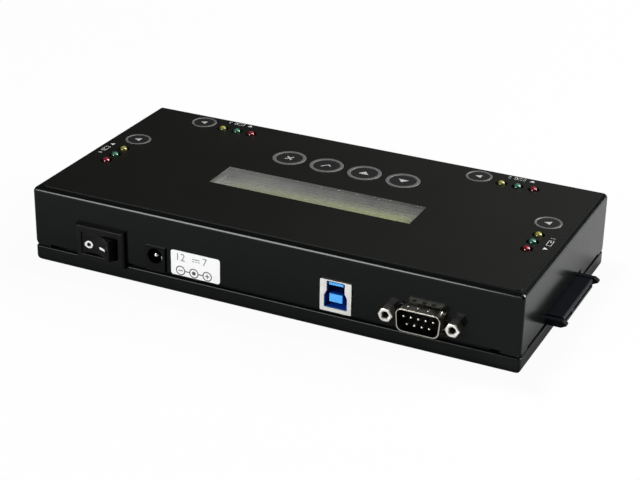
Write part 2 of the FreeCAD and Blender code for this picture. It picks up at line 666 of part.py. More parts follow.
def make_board_parts():
    chips = [block("main_chip", *centred("0", "0", BOARD_TOP, "chip", "chip", "chip_height"))]
    spots = [(f"{side}{x}", y) for side in ("-", "") for x, y in (("port_x", "0"), ("bridge_x", "bridge_y"))]
    for number, (x, y) in enumerate(spots, start=1):
        size = ("bridge", "bridge", "bridge_height")
        chips.append(block(f"bridge_chip_{number}", *centred(x, y, BOARD_TOP, *size)))
    node("controller_chips", group("chip_set", *chips))
    can = turned("can", [
        ("0", BOARD_TOP), ("can_radius", BOARD_TOP), ("can_radius", f"{BOARD_TOP} + can_height - can_edge"),
        ("can_radius - can_edge", f"{BOARD_TOP} + can_height"), ("0", f"{BOARD_TOP} + can_height"),
    ])
    row = [(f"dc_x + {k} * 3 * can_radius", f"{PANEL} + dc_depth + can_back", "0") for k in (0, 1, 2)]
    node("power_capacitors", scatter("cans", can, row))
    chokes = [
        block(f"choke_{k}", *centred(f"dc_x + {k} * 2 * choke", f"{PANEL} + dc_depth + choke_back", BOARD_TOP,
                                     "choke", "choke", "choke_height"))
        for k in (0, 1)
    ]
    node("power_inductors", group("choke_set", *chokes))


def make_key(name, spot, diameter, rim):
    top = f"({FILM_TOP} + key_rise)"
    edge = f"({diameter} / 2)"
    well = f"({edge} - {rim})"
    shoulder = f"({CEILING} - key_stop)"
    underside = f"({shoulder} - key_flange_height)"
    foot = f"({TACT_TOP} - stem_entry)"
    key = turned(name, [
        ("0", foot), ("stem_radius", foot), ("stem_radius", underside),
        (f"{edge} + key_flange", underside), (f"{edge} + key_flange", shoulder), (edge, shoulder),
        (edge, f"{top} - key_dish"), (f"{edge} - key_dish", top), (f"{well} + key_dish", top),
        (well, f"{top} - key_dish"), ("0", f"{top} - key_dish"),
    ])
    node(name, key, *spot)


def make_keys():
    for name, spot in KEY_SPOTS.items():
        make_key(name, spot, "key_diameter", "key_rim")
    for name, spot in GO_SPOTS.items():
        make_key(name, spot, "go_diameter", "go_rim")
    well = "2 * (stem_radius + key_gap)"
    tact = cut(
        "tact",
        block("tact_body", *centred("0", "0", CONTROL_TOP, "tact_size", "tact_size", "tact_height")),
        block("tact_well", *centred("0", "0", f"({TACT_TOP} - tact_hole_depth)", well, well,
                                    "tact_hole_depth + overcut")),
    )
    spots = [(x, y, "0") for x, y in [*KEY_SPOTS.values(), *GO_SPOTS.values()]]
    node("tact_switches", scatter("tact_set", tact, spots))


def make_lamps():
    crown = f"({FILM_TOP} + led_rise - led_radius)"
    dome = doc.addObject("Part::Sphere", "led_dome")
    bind(dome, "Radius", "led_radius")
    place(dome, "0", "0", crown)
    lamp = fuse(
        "led",
        rod("led_barrel", "0", "0", "led_base_z", "led_radius", f"{crown} - led_base_z"),
        rod("led_rim", "0", "0", "led_base_z", "led_radius + led_flange", "led_flange_height"),
        dome,
    )
    for name, step in LAMP_COLOURS.items():
        node(name, scatter(f"{name}_set", lamp, [(x, y, "0") for x, y in lamp_spots(step)]))
    post = block("led_stand", *centred("0", "0", CONTROL_TOP, "led_post", "led_post",
                                       f"led_base_z - {CONTROL_TOP}"))
    holder = group("led_stand_at_origin", post)
    node("led_spacers", scatter("led_stands", holder, [(x, y, "0") for x, y in ALL_LAMPS]))


def make_switch():
    housing = body("switch_shell")
    flange = sketch_on(housing, "switch_flange", "XZ_Plane", "case_width / 2")
    half = "switch_bezel_length / 2"
    tall = "switch_bezel_height / 2"
    rectangle(flange, f"switch_x - {half}", f"switch_z - {tall}", f"switch_x + {half}", f"switch_z + {tall}")
    pad(housing, flange, "switch_bezel")
    dress(housing, "Chamfer", "switch_bevels", "switch_bevel", at_depth(f"{PANEL} - switch_bezel"))
    barrel = sketch_on(housing, "switch_barrel", "XZ_Plane", "case_width / 2")
    half = "switch_body_length / 2"
    tall = "switch_body_height / 2"
    rectangle(barrel, f"switch_x - {half}", f"switch_z - {tall}", f"switch_x + {half}", f"switch_z + {tall}")
    pad(housing, barrel, "switch_depth", reverse=True)
    well = sketch_on(housing, "switch_mouth", "XZ_Plane", "case_width / 2 + switch_bezel")
    half = "switch_mouth_length / 2"
    tall = "switch_mouth_height / 2"
    rectangle(well, f"switch_x - {half}", f"switch_z - {tall}", f"switch_x + {half}", f"switch_z + {tall}")
    pocket(housing, well, "switch_well")
    pivot = sketch_on(housing, "switch_pivot", "XY_Plane", "switch_z")
    circle(pivot, "switch_x", f"{PANEL} + pivot_depth", "pivot_radius + pivot_play")
    pocket(housing, pivot, "2 * (rocker_height / 2 + pivot_length + pivot_play)", both_ways=True)
    node("switch_housing", housing)

    # The rocker is drawn level about its pivot, then tipped so that its O end is pressed in
    rocker = body("rocker")
    side = sketch_on(rocker, "rocker_side", "XY_Plane", "-rocker_height / 2")
    polygon(side, [
        ("-rocker_half", "-rocker_end"), ("rocker_half", "-rocker_end"), ("rocker_half", "0"),
        ("rocker_tail_half", "rocker_tail"), ("-rocker_tail_half", "rocker_tail"), ("-rocker_half", "0"),
    ])
    pad(rocker, side, "rocker_height")
    hollow = sketch_on(rocker, "rocker_hollow", "XY_Plane", "-rocker_height / 2")
    sag = "(rocker_end - rocker_valley)"
    radius = f"(((rocker_half - rocker_lip) ^ 2 + {sag} ^ 2) / (2 * {sag}))"
    circle(hollow, "0", f"-rocker_valley - {radius}", radius)
    pocket(rocker, hollow, "rocker_height", reverse=True)
    front = value("-rocker_valley") + NEAR
    lip = value("rocker_half - rocker_lip")
    dress(rocker, "Fillet", "rocker_edges", "rocker_edge",
          lambda box: box.YMax < front and not (upright(box) and abs(box.XMin) < lip + NEAR))
    pin = sketch_on(rocker, "rocker_pin", "XY_Plane", "-rocker_height / 2 - pivot_length")
    circle(pin, "0", "0", "pivot_radius")
    pad(rocker, pin, "rocker_height + 2 * pivot_length")
    pivot_y = f"{PANEL} + pivot_depth"
    node("switch_rocker", rocker, "switch_x", pivot_y, "switch_z", turn=-value("rocker_throw"))

    heel = f"{PANEL} + switch_depth"
    tabs = []
    leads = []
    for number, sign in enumerate("-+", start=1):
        x = f"switch_x {sign} tab_spread"
        tabs.append(block(
            f"tab_{number}",
            (f"{x} - tab_thickness / 2", heel, "switch_z - tab_width / 2"),
            (f"{x} + tab_thickness / 2", f"{heel} + tab_length", "switch_z + tab_width / 2"),
        ))
        leads.append(rod(f"lead_{number}", x, f"{heel} + tab_length - lead_radius", BOARD_TOP, "lead_radius",
                         f"switch_z - tab_width / 2 - {BOARD_TOP}"))
    node("switch_terminals", group("tab_set", *tabs))
    node("switch_leads", group("lead_set", *leads))


def make_power_socket():
    face = f"({PANEL} - dc_proud)"
    back = f"({face} + dc_depth)"
    left = "dc_x - dc_width / 2"
    right = "dc_x + dc_width / 2"
    inward = Vector(0, 1, 0)
    front = body("dc_front")
    side = sketch_on(front, "dc_side", "YZ_Plane", left)
    polygon(side, [
        (face, "dc_bottom"), (f"{face} + dc_face", "dc_bottom"), (f"{face} + dc_face", "dc_top"),
        (f"{face} + dc_edge", "dc_top"), (face, "dc_top - dc_edge"),
    ])
    pad(front, side, "dc_width")
    shell = fuse(
        "dc_shell",
        front,
        block("dc_rear", (left, face, "dc_bottom"), (right, back, "dc_bore_z")),
        rod("dc_barrel", "dc_x", f"{face} + dc_face", "dc_bore_z", "dc_width / 2", "dc_depth - dc_face",
            inward),
    )
    bore = rod("dc_bore_hole", "dc_x", f"{face} - overcut", "dc_bore_z", "dc_bore",
               "dc_bore_depth + overcut", inward)
    seat = rod("dc_pin_hole", "dc_x", face, "dc_bore_z", "dc_pin", "dc_depth", inward)
    node("dc_jack_body", cut("dc_socket", shell, bore, seat))
    pin = rod("dc_pin_bar", "dc_x", f"{face} + dc_pin_recess", "dc_bore_z", "dc_pin",
              "dc_depth - dc_pin_recess", inward)
    tip = doc.addObject("Part::Sphere", "dc_pin_tip")
    bind(tip, "Radius", "dc_pin")
    place(tip, "dc_x", f"{face} + dc_pin_recess", "dc_bore_z")
    node("dc_jack_pin", fuse("dc_pin_turned", pin, tip))
    leaf = block(
        "dc_leaf_strip",
        ("dc_x + dc_leaf_x", f"{face} + dc_leaf_recess", "dc_bore_z - dc_leaf_width"),
        ("dc_x + dc_leaf_x + dc_leaf", f"{face} + dc_bore_depth", "dc_bore_z"),
    )
    node("dc_jack_contact", group("dc_leaf_set", leaf))

    label = body("label_film_sheet")
    outline = sketch_on(label, "label_outline", "XZ_Plane", "case_width / 2")
    rectangle(outline, "label_x - label_length / 2", "label_bottom",
              "label_x + label_length / 2", "label_bottom + label_height")
    pad(label, outline, "label_film")
    dress(label, "Fillet", "label_corners", "label_corner", lengthwise)
    node("power_label", label)


def usb_mouth(sketch, grow):
    """The stepped mouth of the data socket, narrow above and wide below."""
    low = f"(usb_half_low + {grow})"
    high = f"(usb_half_high + {grow})"
    polygon(sketch, [
        (f"usb_x - {low}", f"usb_mouth_bottom - {grow}"), (f"usb_x + {low}", f"usb_mouth_bottom - {grow}"),
        (f"usb_x + {low}", "usb_shoulder_low"), (f"usb_x + {high}", "usb_shoulder_high"),
        (f"usb_x + {high}", f"usb_mouth_top + {grow}"), (f"usb_x - {high}", f"usb_mouth_top + {grow}"),
        (f"usb_x - {high}", "usb_shoulder_high"), (f"usb_x - {low}", "usb_shoulder_low"),
    ])


def usb_block(sketch, inset):
    rectangle(
        sketch,
        f"usb_x - usb_width / 2 + {inset}", f"usb_bottom + {inset}",
        f"usb_x + usb_width / 2 - {inset}", f"usb_bottom + usb_height - {inset}",
    )


def make_data_socket():
    face = "case_width / 2 + usb_proud"
    shell = body("usb_can")
    outline = sketch_on(shell, "usb_outline", "XZ_Plane", face)
    usb_block(outline, "0")
    pad(shell, outline, "usb_depth", reverse=True)
    dress(shell, "Fillet", "usb_corners", "usb_sheet", lengthwise)
    hollow = sketch_on(shell, "usb_hollow", "XZ_Plane", f"{face} - usb_sheet")
    usb_block(hollow, "usb_sheet")
    pocket(shell, hollow, "usb_depth")
    mouth = sketch_on(shell, "usb_mouth", "XZ_Plane", face)
    usb_mouth(mouth, "0")
    pocket(shell, mouth, "2 * usb_sheet")
    node("usb_shell", shell)

    insert = body("usb_core")
    outline = sketch_on(insert, "usb_core_outline", "XZ_Plane", f"{face} - usb_sheet")
    usb_block(outline, "usb_sheet")
    pad(insert, outline, "usb_depth - usb_sheet", reverse=True)
    mouth = sketch_on(insert, "usb_core_mouth", "XZ_Plane", f"{face} - usb_sheet")
    usb_mouth(mouth, "0")
    pocket(insert, mouth, "usb_mouth_depth")
    tongue = sketch_on(insert, "usb_tongue", "XZ_Plane", f"{face} - usb_sheet")
    rectangle(tongue, "usb_x - usb_tongue_half", "usb_tongue_low",
              "usb_x + usb_tongue_half", "usb_tongue_high")
    rectangle(tongue, "usb_x - usb_bar_half", "usb_bar_low", "usb_x + usb_bar_half", "usb_bar_high")
    pad(insert, tongue, "usb_mouth_depth + overcut", reverse=True)
    node("usb_insert", insert)

    front = f"({PANEL} - usb_proud + usb_sheet)"
    strips = []
    for number, step in enumerate((-1.5, -0.5, 0.5, 1.5), start=1):
        x = f"usb_x + ({step}) * usb_contact_pitch"
        strips.append(block(
            f"usb_strip_{number}",
            (f"{x} - usb_contact_width / 2", f"{front} + usb_contact_recess", "usb_tongue_low - usb_contact"),
            (f"{x} + usb_contact_width / 2", f"{front} + usb_mouth_depth", "usb_tongue_low"),
        ))
    node("usb_contacts", group("usb_strips", *strips))


def make_serial_plug():
    inner_face = "case_width / 2 - wall"
    front = value(f"{PANEL} - serial_reach")
    shell = body("serial_can")
    flange = sketch_on(shell, "serial_plate", "XZ_Plane", inner_face)
    half = "serial_flange_length / 2"
    tall = "serial_flange_height / 2"
    rectangle(flange, f"serial_x - {half}", f"serial_z - {tall}", f"serial_x + {half}", f"serial_z + {tall}")
    for x in JACK_SPOTS:
        circle(flange, x, "serial_z", "jack_hole")
    pad(shell, flange, "serial_flange", reverse=True)
    outline = sketch_on(shell, "serial_outer", "XZ_Plane", inner_face)
    serial_outline(outline, "0")
    pad(shell, outline, "wall + serial_reach")
    dress(shell, "Fillet", "serial_corners", "serial_corner",
          lambda box: lengthwise(box) and abs(box.YMin - front) < NEAR)
    dress(shell, "Fillet", "serial_rims", "serial_rim", at_depth(f"{PANEL} - serial_reach"))
    bore = body("serial_bore")
    inner = sketch_on(bore, "serial_inner", "XZ_Plane", "case_width / 2 + serial_reach + overcut")
    serial_outline(inner, "(-serial_sheet)")
    pad(bore, inner, "serial_reach + wall + serial_flange + 2 * overcut", reverse=True)
    dress(bore, "Fillet", "serial_bore_corners", "serial_corner - serial_sheet", lengthwise)
    node("serial_shell", cut("serial_case", shell, bore))

    core = body("serial_core")
    face = "case_width / 2 + serial_reach - serial_face"
    outline = sketch_on(core, "serial_core_outline", "XZ_Plane", face)
    serial_outline(outline, "(-serial_sheet - fit_gap)")
    pad(core, outline, f"({face}) - ({inner_face}) + serial_flange", reverse=True)
    dress(core, "Fillet", "serial_core_corners", "serial_corner - serial_sheet", lengthwise)
    rear = sketch_on(core, "serial_rear", "XZ_Plane", f"{inner_face} - serial_flange")
    rectangle(rear, "serial_x - serial_half_high", BOARD_TOP, "serial_x + serial_half_high",
              "serial_z + serial_half_height")
    pad(core, rear, "serial_depth", reverse=True)
    holes = sketch_on(core, "serial_holes", "XZ_Plane", face)
    spots = [(f"serial_x + ({k}) * pin_pitch", "serial_z + pin_row / 2") for k in (-2, -1, 0, 1, 2)]
    spots += [(f"serial_x + ({k}) * pin_pitch", "serial_z - pin_row / 2") for k in (-1.5, -0.5, 0.5, 1.5)]
    for x, z in spots:
        circle(holes, x, z, "pin_radius")
    pocket(core, holes, "pin_entry")
    node("serial_insulator", core)

    pin = turned("serial_pin", [
        ("0", "0"), ("pin_radius", "0"), ("pin_radius", "pin_entry + serial_face - pin_recess - pin_radius"),
        ("pin_radius / 2", "pin_entry + serial_face - pin_recess"),
        ("0", "pin_entry + serial_face - pin_recess"),
    ])
    pin.Placement = Placement(Vector(), Rotation(Vector(0, 0, 1), Vector(0, -1, 0)))
    holder = group("serial_pin_turned", pin)
    root = f"-({face}) + pin_entry"
    node("serial_pins", scatter("serial_pin_set", holder, [(x, root, z) for x, z in spots]))

    outward = Vector(0, -1, 0)
    jack = cut(
        "jackscrew",
        fuse(
            "jack_bar",
            hexagon("jack_head", "0", "0", "0", "jack_hex", "jackscrew_reach", outward),
            rod("jack_shank", "0", "jack_stud_length", "0", "jack_stud", "jack_stud_length + overcut",
                outward),
        ),
        rod("jack_bore", "0", "jack_thread_depth - jackscrew_reach", "0", "jack_thread",
            "jack_thread_depth + overcut", outward),
    )
    places = [(x, PANEL, "serial_z") for x in JACK_SPOTS]
    node("serial_jackscrews", scatter("jack_set", jack, places))


# Each drive socket is drawn on the +X end, reaching out from the case's face at X = 0

PORT_PLACES = {
    1: ("case_length / 2", "port_y", 0),
    2: ("port_x", "case_width / 2", 90),
    3: ("-port_x", "case_width / 2", 90),
    4: ("-case_length / 2", "port_y", 180),
}
PORT_SLOTS = [
    ("port_side - port_half", "port_split - port_rib / 2"),
    ("port_split + port_rib / 2", "port_half - port_side"),
]


def make_port(number, x, y, turn):
    name = f"port_{number}"
    socket = body(name)
    board_edge = "(board_half_length - case_length / 2 + fit_gap)"
    plan = sketch_on(socket, f"{name}_plan", "XY_Plane", "port_bottom")
    polygon(plan, [
        (board_edge, "-port_base_half"), ("-wall", "-port_base_half"), ("-wall", "-port_half"),
        ("port_reach", "-port_half"), ("port_reach", "port_half"), ("-wall", "port_half"),
        ("-wall", "port_base_half"), (board_edge, "port_base_half"),
    ])
    pad(socket, plan, "port_top - port_bottom")
    reach = value("port_reach")
    top = value("port_top")
    dress(socket, "Chamfer", f"{name}_lead_in", "port_edge",
          lambda box: box.XMin > reach - NEAR and box.ZMin > top - NEAR)
    tail = sketch_on(socket, f"{name}_tail", "XY_Plane", BOARD_TOP)
    rectangle(tail, f"{board_edge} - port_tail", "-port_tail_half", f"{board_edge} + overcut",
              "port_tail_half")
    pad(socket, tail, f"port_top - {BOARD_TOP}")

    # Guide arms with a beak, one drawn and one mirrored
    arm = sketch_on(socket, f"{name}_arm", "XZ_Plane", "arm_outer")
    polygon(arm, [
        ("-wall - overcut", "arm_bottom"), ("arm_reach - arm_chin", "arm_bottom"),
        ("arm_reach", "arm_tip_low"), ("arm_reach", "arm_tip_high"), ("arm_reach - arm_beak", "arm_top"),
        ("-wall - overcut", "arm_top"),
    ])
    arm_pad = pad(socket, arm, "arm_outer - arm_inner", reverse=True)
    twin = socket.newObject("PartDesign::Mirrored", f"{name}_arm_twin")
    twin.Originals = [arm_pad]
    twin.MirrorPlane = (next(p for p in socket.Origin.OriginFeatures if p.Role == "XZ_Plane"), [""])
    socket.Tip = twin

    # L-shaped slots for the short and the long contact rows
    mouth = sketch_on(socket, f"{name}_slots", "YZ_Plane", "port_reach")
    for start, end in PORT_SLOTS:
        polygon(mouth, [
            (start, "slot_bottom"), (f"{end} - slot_key", "slot_bottom"),
            (f"{end} - slot_key", "slot_key_bottom"), (end, "slot_key_bottom"),
            (end, "slot_top"), (start, "slot_top"),
        ])
    pocket(socket, mouth, "slot_depth")
    node(f"drive_{name}", socket, x, y, turn=turn)


def make_ports():
    strips = []
    for (start, end), count in zip(PORT_SLOTS, (CONTACTS_SHORT, CONTACTS_LONG)):
        for k in range(count):
            offset = k - (count - 1) / 2
            y = f"(({start}) + ({end})) / 2 + ({offset}) * contact_pitch"
            strips.append(block(
                f"contact_{len(strips) + 1}",
                ("port_reach - slot_depth", f"{y} - contact_width / 2", "slot_top - contact_sheet"),
                ("port_reach - slot_depth + contact_length", f"{y} + contact_width / 2", "slot_top"),
            ))
    row = group("contact_row", *strips)
    rows = []
    for number, (x, y, turn) in PORT_PLACES.items():
        make_port(number, x, y, turn)
        copy = doc.addObject("App::Link", f"contact_row_{number}")
        copy.LinkedObject = row
        copy.Placement = Placement(Vector(), Rotation(Vector(0, 0, 1), turn))
        place(copy, x, y, "0")
        rows.append(copy)
    node("drive_contacts", group("contact_rows", *rows))


make_tray()
make_cover()
make_case_fixings()
make_film_and_window()
make_display()
make_boards()
make_board_parts()
make_keys()
make_lamps()
make_switch()
make_power_socket()
make_data_socket()
make_serial_plug()
make_ports()
doc.recompute()

for thing in doc.Objects:
    if "Invalid" in thing.State or "Error" in thing.State:
        raise RuntimeError(f"{thing.Name} did not build: {thing.State}")
for label, thing in nodes.items():
    if thing.Shape.isNull() or not thing.Shape.isValid():
        raise RuntimeError(f"{label} has no valid shape")

os.makedirs("parts", exist_ok=True)
for label, thing in nodes.items():
    thing.Shape.exportStep(f"parts/{label}.step")
    print(f"{label}: {len(thing.Shape.Solids)} solids, {thing.Shape.Volume:.1f} mm3")
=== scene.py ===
import json
import math

import bmesh
import bpy
from mathutils import Matrix, Vector


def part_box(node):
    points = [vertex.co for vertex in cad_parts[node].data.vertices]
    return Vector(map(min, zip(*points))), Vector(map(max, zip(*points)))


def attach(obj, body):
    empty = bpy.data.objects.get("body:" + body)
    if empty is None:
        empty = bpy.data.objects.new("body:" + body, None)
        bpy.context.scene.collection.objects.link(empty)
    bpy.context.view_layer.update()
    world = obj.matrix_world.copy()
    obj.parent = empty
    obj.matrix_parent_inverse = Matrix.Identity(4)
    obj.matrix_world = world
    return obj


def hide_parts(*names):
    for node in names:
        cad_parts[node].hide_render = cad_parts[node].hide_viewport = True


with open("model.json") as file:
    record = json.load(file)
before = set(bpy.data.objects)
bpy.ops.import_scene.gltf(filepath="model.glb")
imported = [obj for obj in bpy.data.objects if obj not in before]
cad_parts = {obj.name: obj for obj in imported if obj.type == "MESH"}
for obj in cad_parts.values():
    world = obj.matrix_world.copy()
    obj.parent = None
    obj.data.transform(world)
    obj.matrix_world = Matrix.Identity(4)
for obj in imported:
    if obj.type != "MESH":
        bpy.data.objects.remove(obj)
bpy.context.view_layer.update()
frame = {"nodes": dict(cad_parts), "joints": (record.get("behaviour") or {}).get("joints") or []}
nodes = frame["nodes"]


# Bottom tray: a shallow pan folded from steel sheet and sprayed satin black, as the cover is.
# Its rounded rim meets the cover along a thin seam, and it carries the boards on standoffs.
# Hands have rubbed the paint to a shine along the cover's bends.

MM = 0.001


class Shade:
    """A shader socket that can stand in a sum, so that 1 - mask adds the Math node that it means."""

    def __init__(self, tree, socket=None):
        self.tree = tree
        self.socket = socket

    def node(self, kind, settings=None, sockets=None, output=0):
        """Add a node: its settings first, then the value or the link of each socket that is named."""
        made = self.tree.nodes.new(f"ShaderNode{kind}")
        for name, setting in (settings or {}).items():
            setattr(made, name, setting)
        self.feed(made, sockets or {})
        return Shade(self.tree, made.outputs[output])

    def feed(self, made, sockets):
        for name, value in sockets.items():
            if isinstance(value, Shade):
                self.tree.links.new(value.socket, made.inputs[name])
            else:
                made.inputs[name].default_value = value

    def surface(self, sockets):
        """Set sockets of the material's own shader."""
        self.feed(self.tree.nodes["Principled BSDF"], sockets)

    def place(self):
        """Where a point of the surface is, in the part's frame at rest."""
        return self.node("TexCoord", output="Object")

    def along(self, axis):
        """One coordinate of that place, counted from 0 for X."""
        return self.node("SeparateXYZ", {}, {0: self.place()}, axis)

    def grain(self, size, detail=2.0):
        """Soft noise with lumps of about the given size."""
        return self.node("TexNoise", {}, {"Vector": self.place(), "Scale": 1 / size, "Detail": detail})

    def relief(self, height, depth, edge=0.0):
        """A normal for a height of 0 to 1 that stands out by a depth, on softened edges if asked."""
        sockets = {"Height": height, "Distance": depth, "Strength": 1.0}
        if edge:
            sockets["Normal"] = self.node("Bevel", {"samples": 8}, {"Radius": edge})
        return self.node("Bump", {}, sockets)

    def math(self, operation, first, second):
        return self.node("Math", {"operation": operation}, {0: first, 1: second})

    def __add__(self, other):
        return self.math("ADD", self, other)

    def __sub__(self, other):
        return self.math("SUBTRACT", self, other)

    def __rsub__(self, other):
        return self.math("SUBTRACT", other, self)

    def __mul__(self, other):
        return self.math("MULTIPLY", self, other)

    def __truediv__(self, other):
        return self.math("DIVIDE", self, other)

    def __mod__(self, other):
        return self.math("FLOORED_MODULO", self, other)

    __radd__ = __add__
    __rmul__ = __mul__

    def rise(self, low, high):
        """0 below low, 1 above high and a smooth step between."""
        return self.node("MapRange", {"interpolation_type": "SMOOTHSTEP"},
                         {"Value": self, "From Min": low, "From Max": high})

    def tint(self, low, high):
        """A colour that goes from low to high as this mask goes from 0 to 1."""
        low, high = (end if isinstance(end, Shade) else (*end, 1) for end in (low, high))
        return self.node("Mix", {"data_type": "RGBA"}, {0: self, 6: low, 7: high}, 2)


def new_finish(name):
    finish = bpy.data.materials.new(name)
    finish.use_nodes = True
    return finish, Shade(finish.node_tree)


def give(finish, *names):
    """Put a finish on pieces of the frame."""
    for name in names:
        for spot in nodes[name].material_slots:
            spot.material = finish


PAINT_DEEP = (0.0022, 0.0029, 0.0027)
PAINT_THIN = (0.0038, 0.0047, 0.0044)
PAINT_CLOUD = 24 * MM
PEEL_SIZE = 0.9 * MM
PEEL_DEPTH = 0.003 * MM
BEND_START = 2.2 * MM
BEND_SHINE = 0.3

paint, shade = new_finish("satin_black_paint")
thickness = shade.grain(PAINT_CLOUD, detail=3.0)
cover_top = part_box("top_cover")[1].z
bends = shade.along(2).rise(cover_top - BEND_START, cover_top - BEND_START / 2)
shade.surface({
    "Base Color": thickness.tint(PAINT_DEEP, PAINT_THIN),
    "Roughness": 0.15 + 0.07 * thickness,
    "IOR": 1.22,
    "Coat Weight": BEND_SHINE * bends,
    "Coat Roughness": 0.12,
    "Normal": shade.relief(shade.grain(PEEL_SIZE), PEEL_DEPTH),
})
give(paint, "bottom_tray")


# Standoffs and posts: turned and hexagon bar, zinc plated.
# The posts stand at the four corners, and the cover's screws are driven into them from below.

ZINC = (0.66, 0.67, 0.68)
PLATE_CLOUD = 5 * MM
PLATE_DULL = 0.72
PLATE_STAIN = 0.12
SCRATCH_SIZE = 0.3 * MM
SCRATCH_DEPTH = 0.002 * MM


def plated(name, colour, roughness):
    """Plated metal: a clean colour with cloudy polish and very fine scratches."""
    metal, shade = new_finish(name)
    cloud = shade.grain(PLATE_CLOUD, detail=4.0)
    dull = tuple(PLATE_DULL * part for part in colour)
    shade.surface({
        "Base Color": cloud.tint(dull, colour),
        "Metallic": 1.0,
        "Roughness": roughness + PLATE_STAIN * cloud,
        "Normal": shade.relief(shade.grain(SCRATCH_SIZE), SCRATCH_DEPTH),
    })
    return metal


give(plated("zinc_plate", ZINC, roughness=0.28), "cover_posts", "lower_standoffs", "upper_standoffs",
     "control_board_screws", "lcd_screws")


# Main and control boards: glass-fibre laminate under black solder mask, with copper tracks below it.
# They lie one over the other on the standoffs, and a pin header joins them. Chips, capacitors and small
# switches are soldered to them, and the display's board has the same mask.

MASK_BLACK = (0.0045, 0.0050, 0.0050)
MASK_OVER_COPPER = (0.012, 0.013, 0.012)
MASK_CLOUD = 6 * MM
TRACK_PITCH = 1.9 * MM
TRACK_SIDE = (0.55, 0.65)
TRACK_HEIGHT = 0.03 * MM
BUNDLE_SIZE = 14 * MM
BUNDLE_EDGE = (0.48, 0.52)
NYLON_BLACK = (0.008, 0.008, 0.008)
CHIP_BLACK = (0.012, 0.012, 0.013)
FERRITE_GREY = (0.030, 0.029, 0.028)
ALUMINIUM = (0.80, 0.80, 0.80)
FLOW_SIZE = 8 * MM
FLOW_LIGHT = 1.25
SPARK_SIZE = 0.22 * MM

board_finish, shade = new_finish("solder_mask")
bundles = shade.grain(BUNDLE_SIZE, detail=1.0).rise(*BUNDLE_EDGE)
tracks = (shade.along(1) / TRACK_PITCH % 1.0).rise(*TRACK_SIDE) * bundles
shade.surface({
    "Base Color": tracks.tint(MASK_BLACK, MASK_OVER_COPPER),
    "Roughness": 0.30 + 0.12 * shade.grain(MASK_CLOUD),
    "Normal": shade.relief(tracks, TRACK_HEIGHT),
})
give(board_finish, "main_board", "control_board", "lcd_board")


def moulded(name, colour, roughness, texture=0.004 * MM, ior=1.42, edge=0.0):
    """Moulded plastic: an even colour with a fine spark-eroded texture and edges as soft as asked."""
    plastic, shade = new_finish(name)
    flow = shade.grain(FLOW_SIZE)
    light = tuple(FLOW_LIGHT * part for part in colour)
    shade.surface({
        "Base Color": flow.tint(colour, light),
        "Roughness": roughness + 0.08 * flow,
        "IOR": ior,
        "Normal": shade.relief(shade.grain(SPARK_SIZE), texture, edge),
    })
    return plastic


give(moulded("black_nylon", NYLON_BLACK, roughness=0.45), "stacking_header", "lcd_header", "lcd_spacers",
     "led_spacers", "tact_switches")
give(moulded("chip_epoxy", CHIP_BLACK, roughness=0.55, texture=0.010 * MM), "controller_chips")
give(moulded("ferrite", FERRITE_GREY, roughness=0.60, texture=0.015 * MM), "power_inductors")
give(plated("can_aluminium", ALUMINIUM, roughness=0.30), "power_capacitors")


# Drive sockets: black glass-filled plastic with two keyed slots and a guide arm at each end.
# They sit on the edge of the main board and reach out under the cover's edge on three sides.

DRIVE_NUMBERS = (1, 2, 3, 4)
DRIVE_BLACK = (0.0036, 0.0042, 0.0058)
GOLD = (0.80, 0.58, 0.26)

give(moulded("drive_plastic", DRIVE_BLACK, roughness=0.30, texture=0.006 * MM, ior=1.22),
     *[f"drive_port_{number}" for number in DRIVE_NUMBERS])
give(plated("gold_contact", GOLD, roughness=0.22), "drive_contacts", "usb_contacts")


# Data socket: a nickel-plated folded can round a blue insert with a contact tongue and an upper bar.
# It stands on the main board with its face through the panel. The insert's blue has a painted highlight
# along its front edges and painted shade deeper in, strongest over the tongue.

NICKEL = (0.90, 0.89, 0.86)
INSERT_BLUE = (0.005, 0.062, 0.48)
INSERT_PAINTED_HIGHLIGHT = (0.075, 0.42, 0.95)
INSERT_PAINTED_SHADE = (0.002, 0.010, 0.085)
INSERT_CLOUD = 4 * MM
HIGHLIGHT_DEPTH = 0.5 * MM
SHADE_DEPTH = 2.5 * MM
SHADE_BELOW_TONGUE = 0.35
TONGUE_HALF = 2 * MM

give(plated("nickel_plate", NICKEL, roughness=0.45), "usb_shell")

insert_low, insert_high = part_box("usb_insert")
insert_middle = (insert_low.z + insert_high.z) / 2
blue, shade = new_finish("blue_insert")
# Painted highlight: the insert's first half millimetre is lighter. Painted shade: it darkens deeper in,
# fully over the tongue and about a third as much below it.
painted_highlight_edge = 1 - shade.along(1).rise(insert_low.y, insert_low.y + HIGHLIGHT_DEPTH)
deep = shade.along(1).rise(insert_low.y + HIGHLIGHT_DEPTH, insert_low.y + SHADE_DEPTH)
above = shade.along(2).rise(insert_middle - TONGUE_HALF, insert_middle)
painted_shade_inside = deep * (SHADE_BELOW_TONGUE + (1 - SHADE_BELOW_TONGUE) * above)
shade.surface({
    "Base Color": painted_highlight_edge.tint(painted_shade_inside.tint(INSERT_BLUE, INSERT_PAINTED_SHADE), INSERT_PAINTED_HIGHLIGHT),
    "Roughness": 0.28 + 0.1 * shade.grain(INSERT_CLOUD),
    "Normal": shade.relief(shade.grain(SPARK_SIZE), 0.003 * MM),
})
give(blue, "usb_insert")


# Power socket: a black plastic block with a round well, a centre pin and a spring contact beside it.
# It is soldered to the main board and looks through a notch in the panel.
# Its bevelled upper edge and its top carry a painted highlight.

SOCKET_BLACK = (0.0022, 0.0022, 0.0028)
SOCKET_EDGE_HIGHLIGHT = (0.042, 0.043, 0.047)
EDGE_HEIGHT = 0.5 * MM
EDGE_BLUR = 0.15 * MM
BRIGHT_NICKEL = (0.92, 0.91, 0.88)

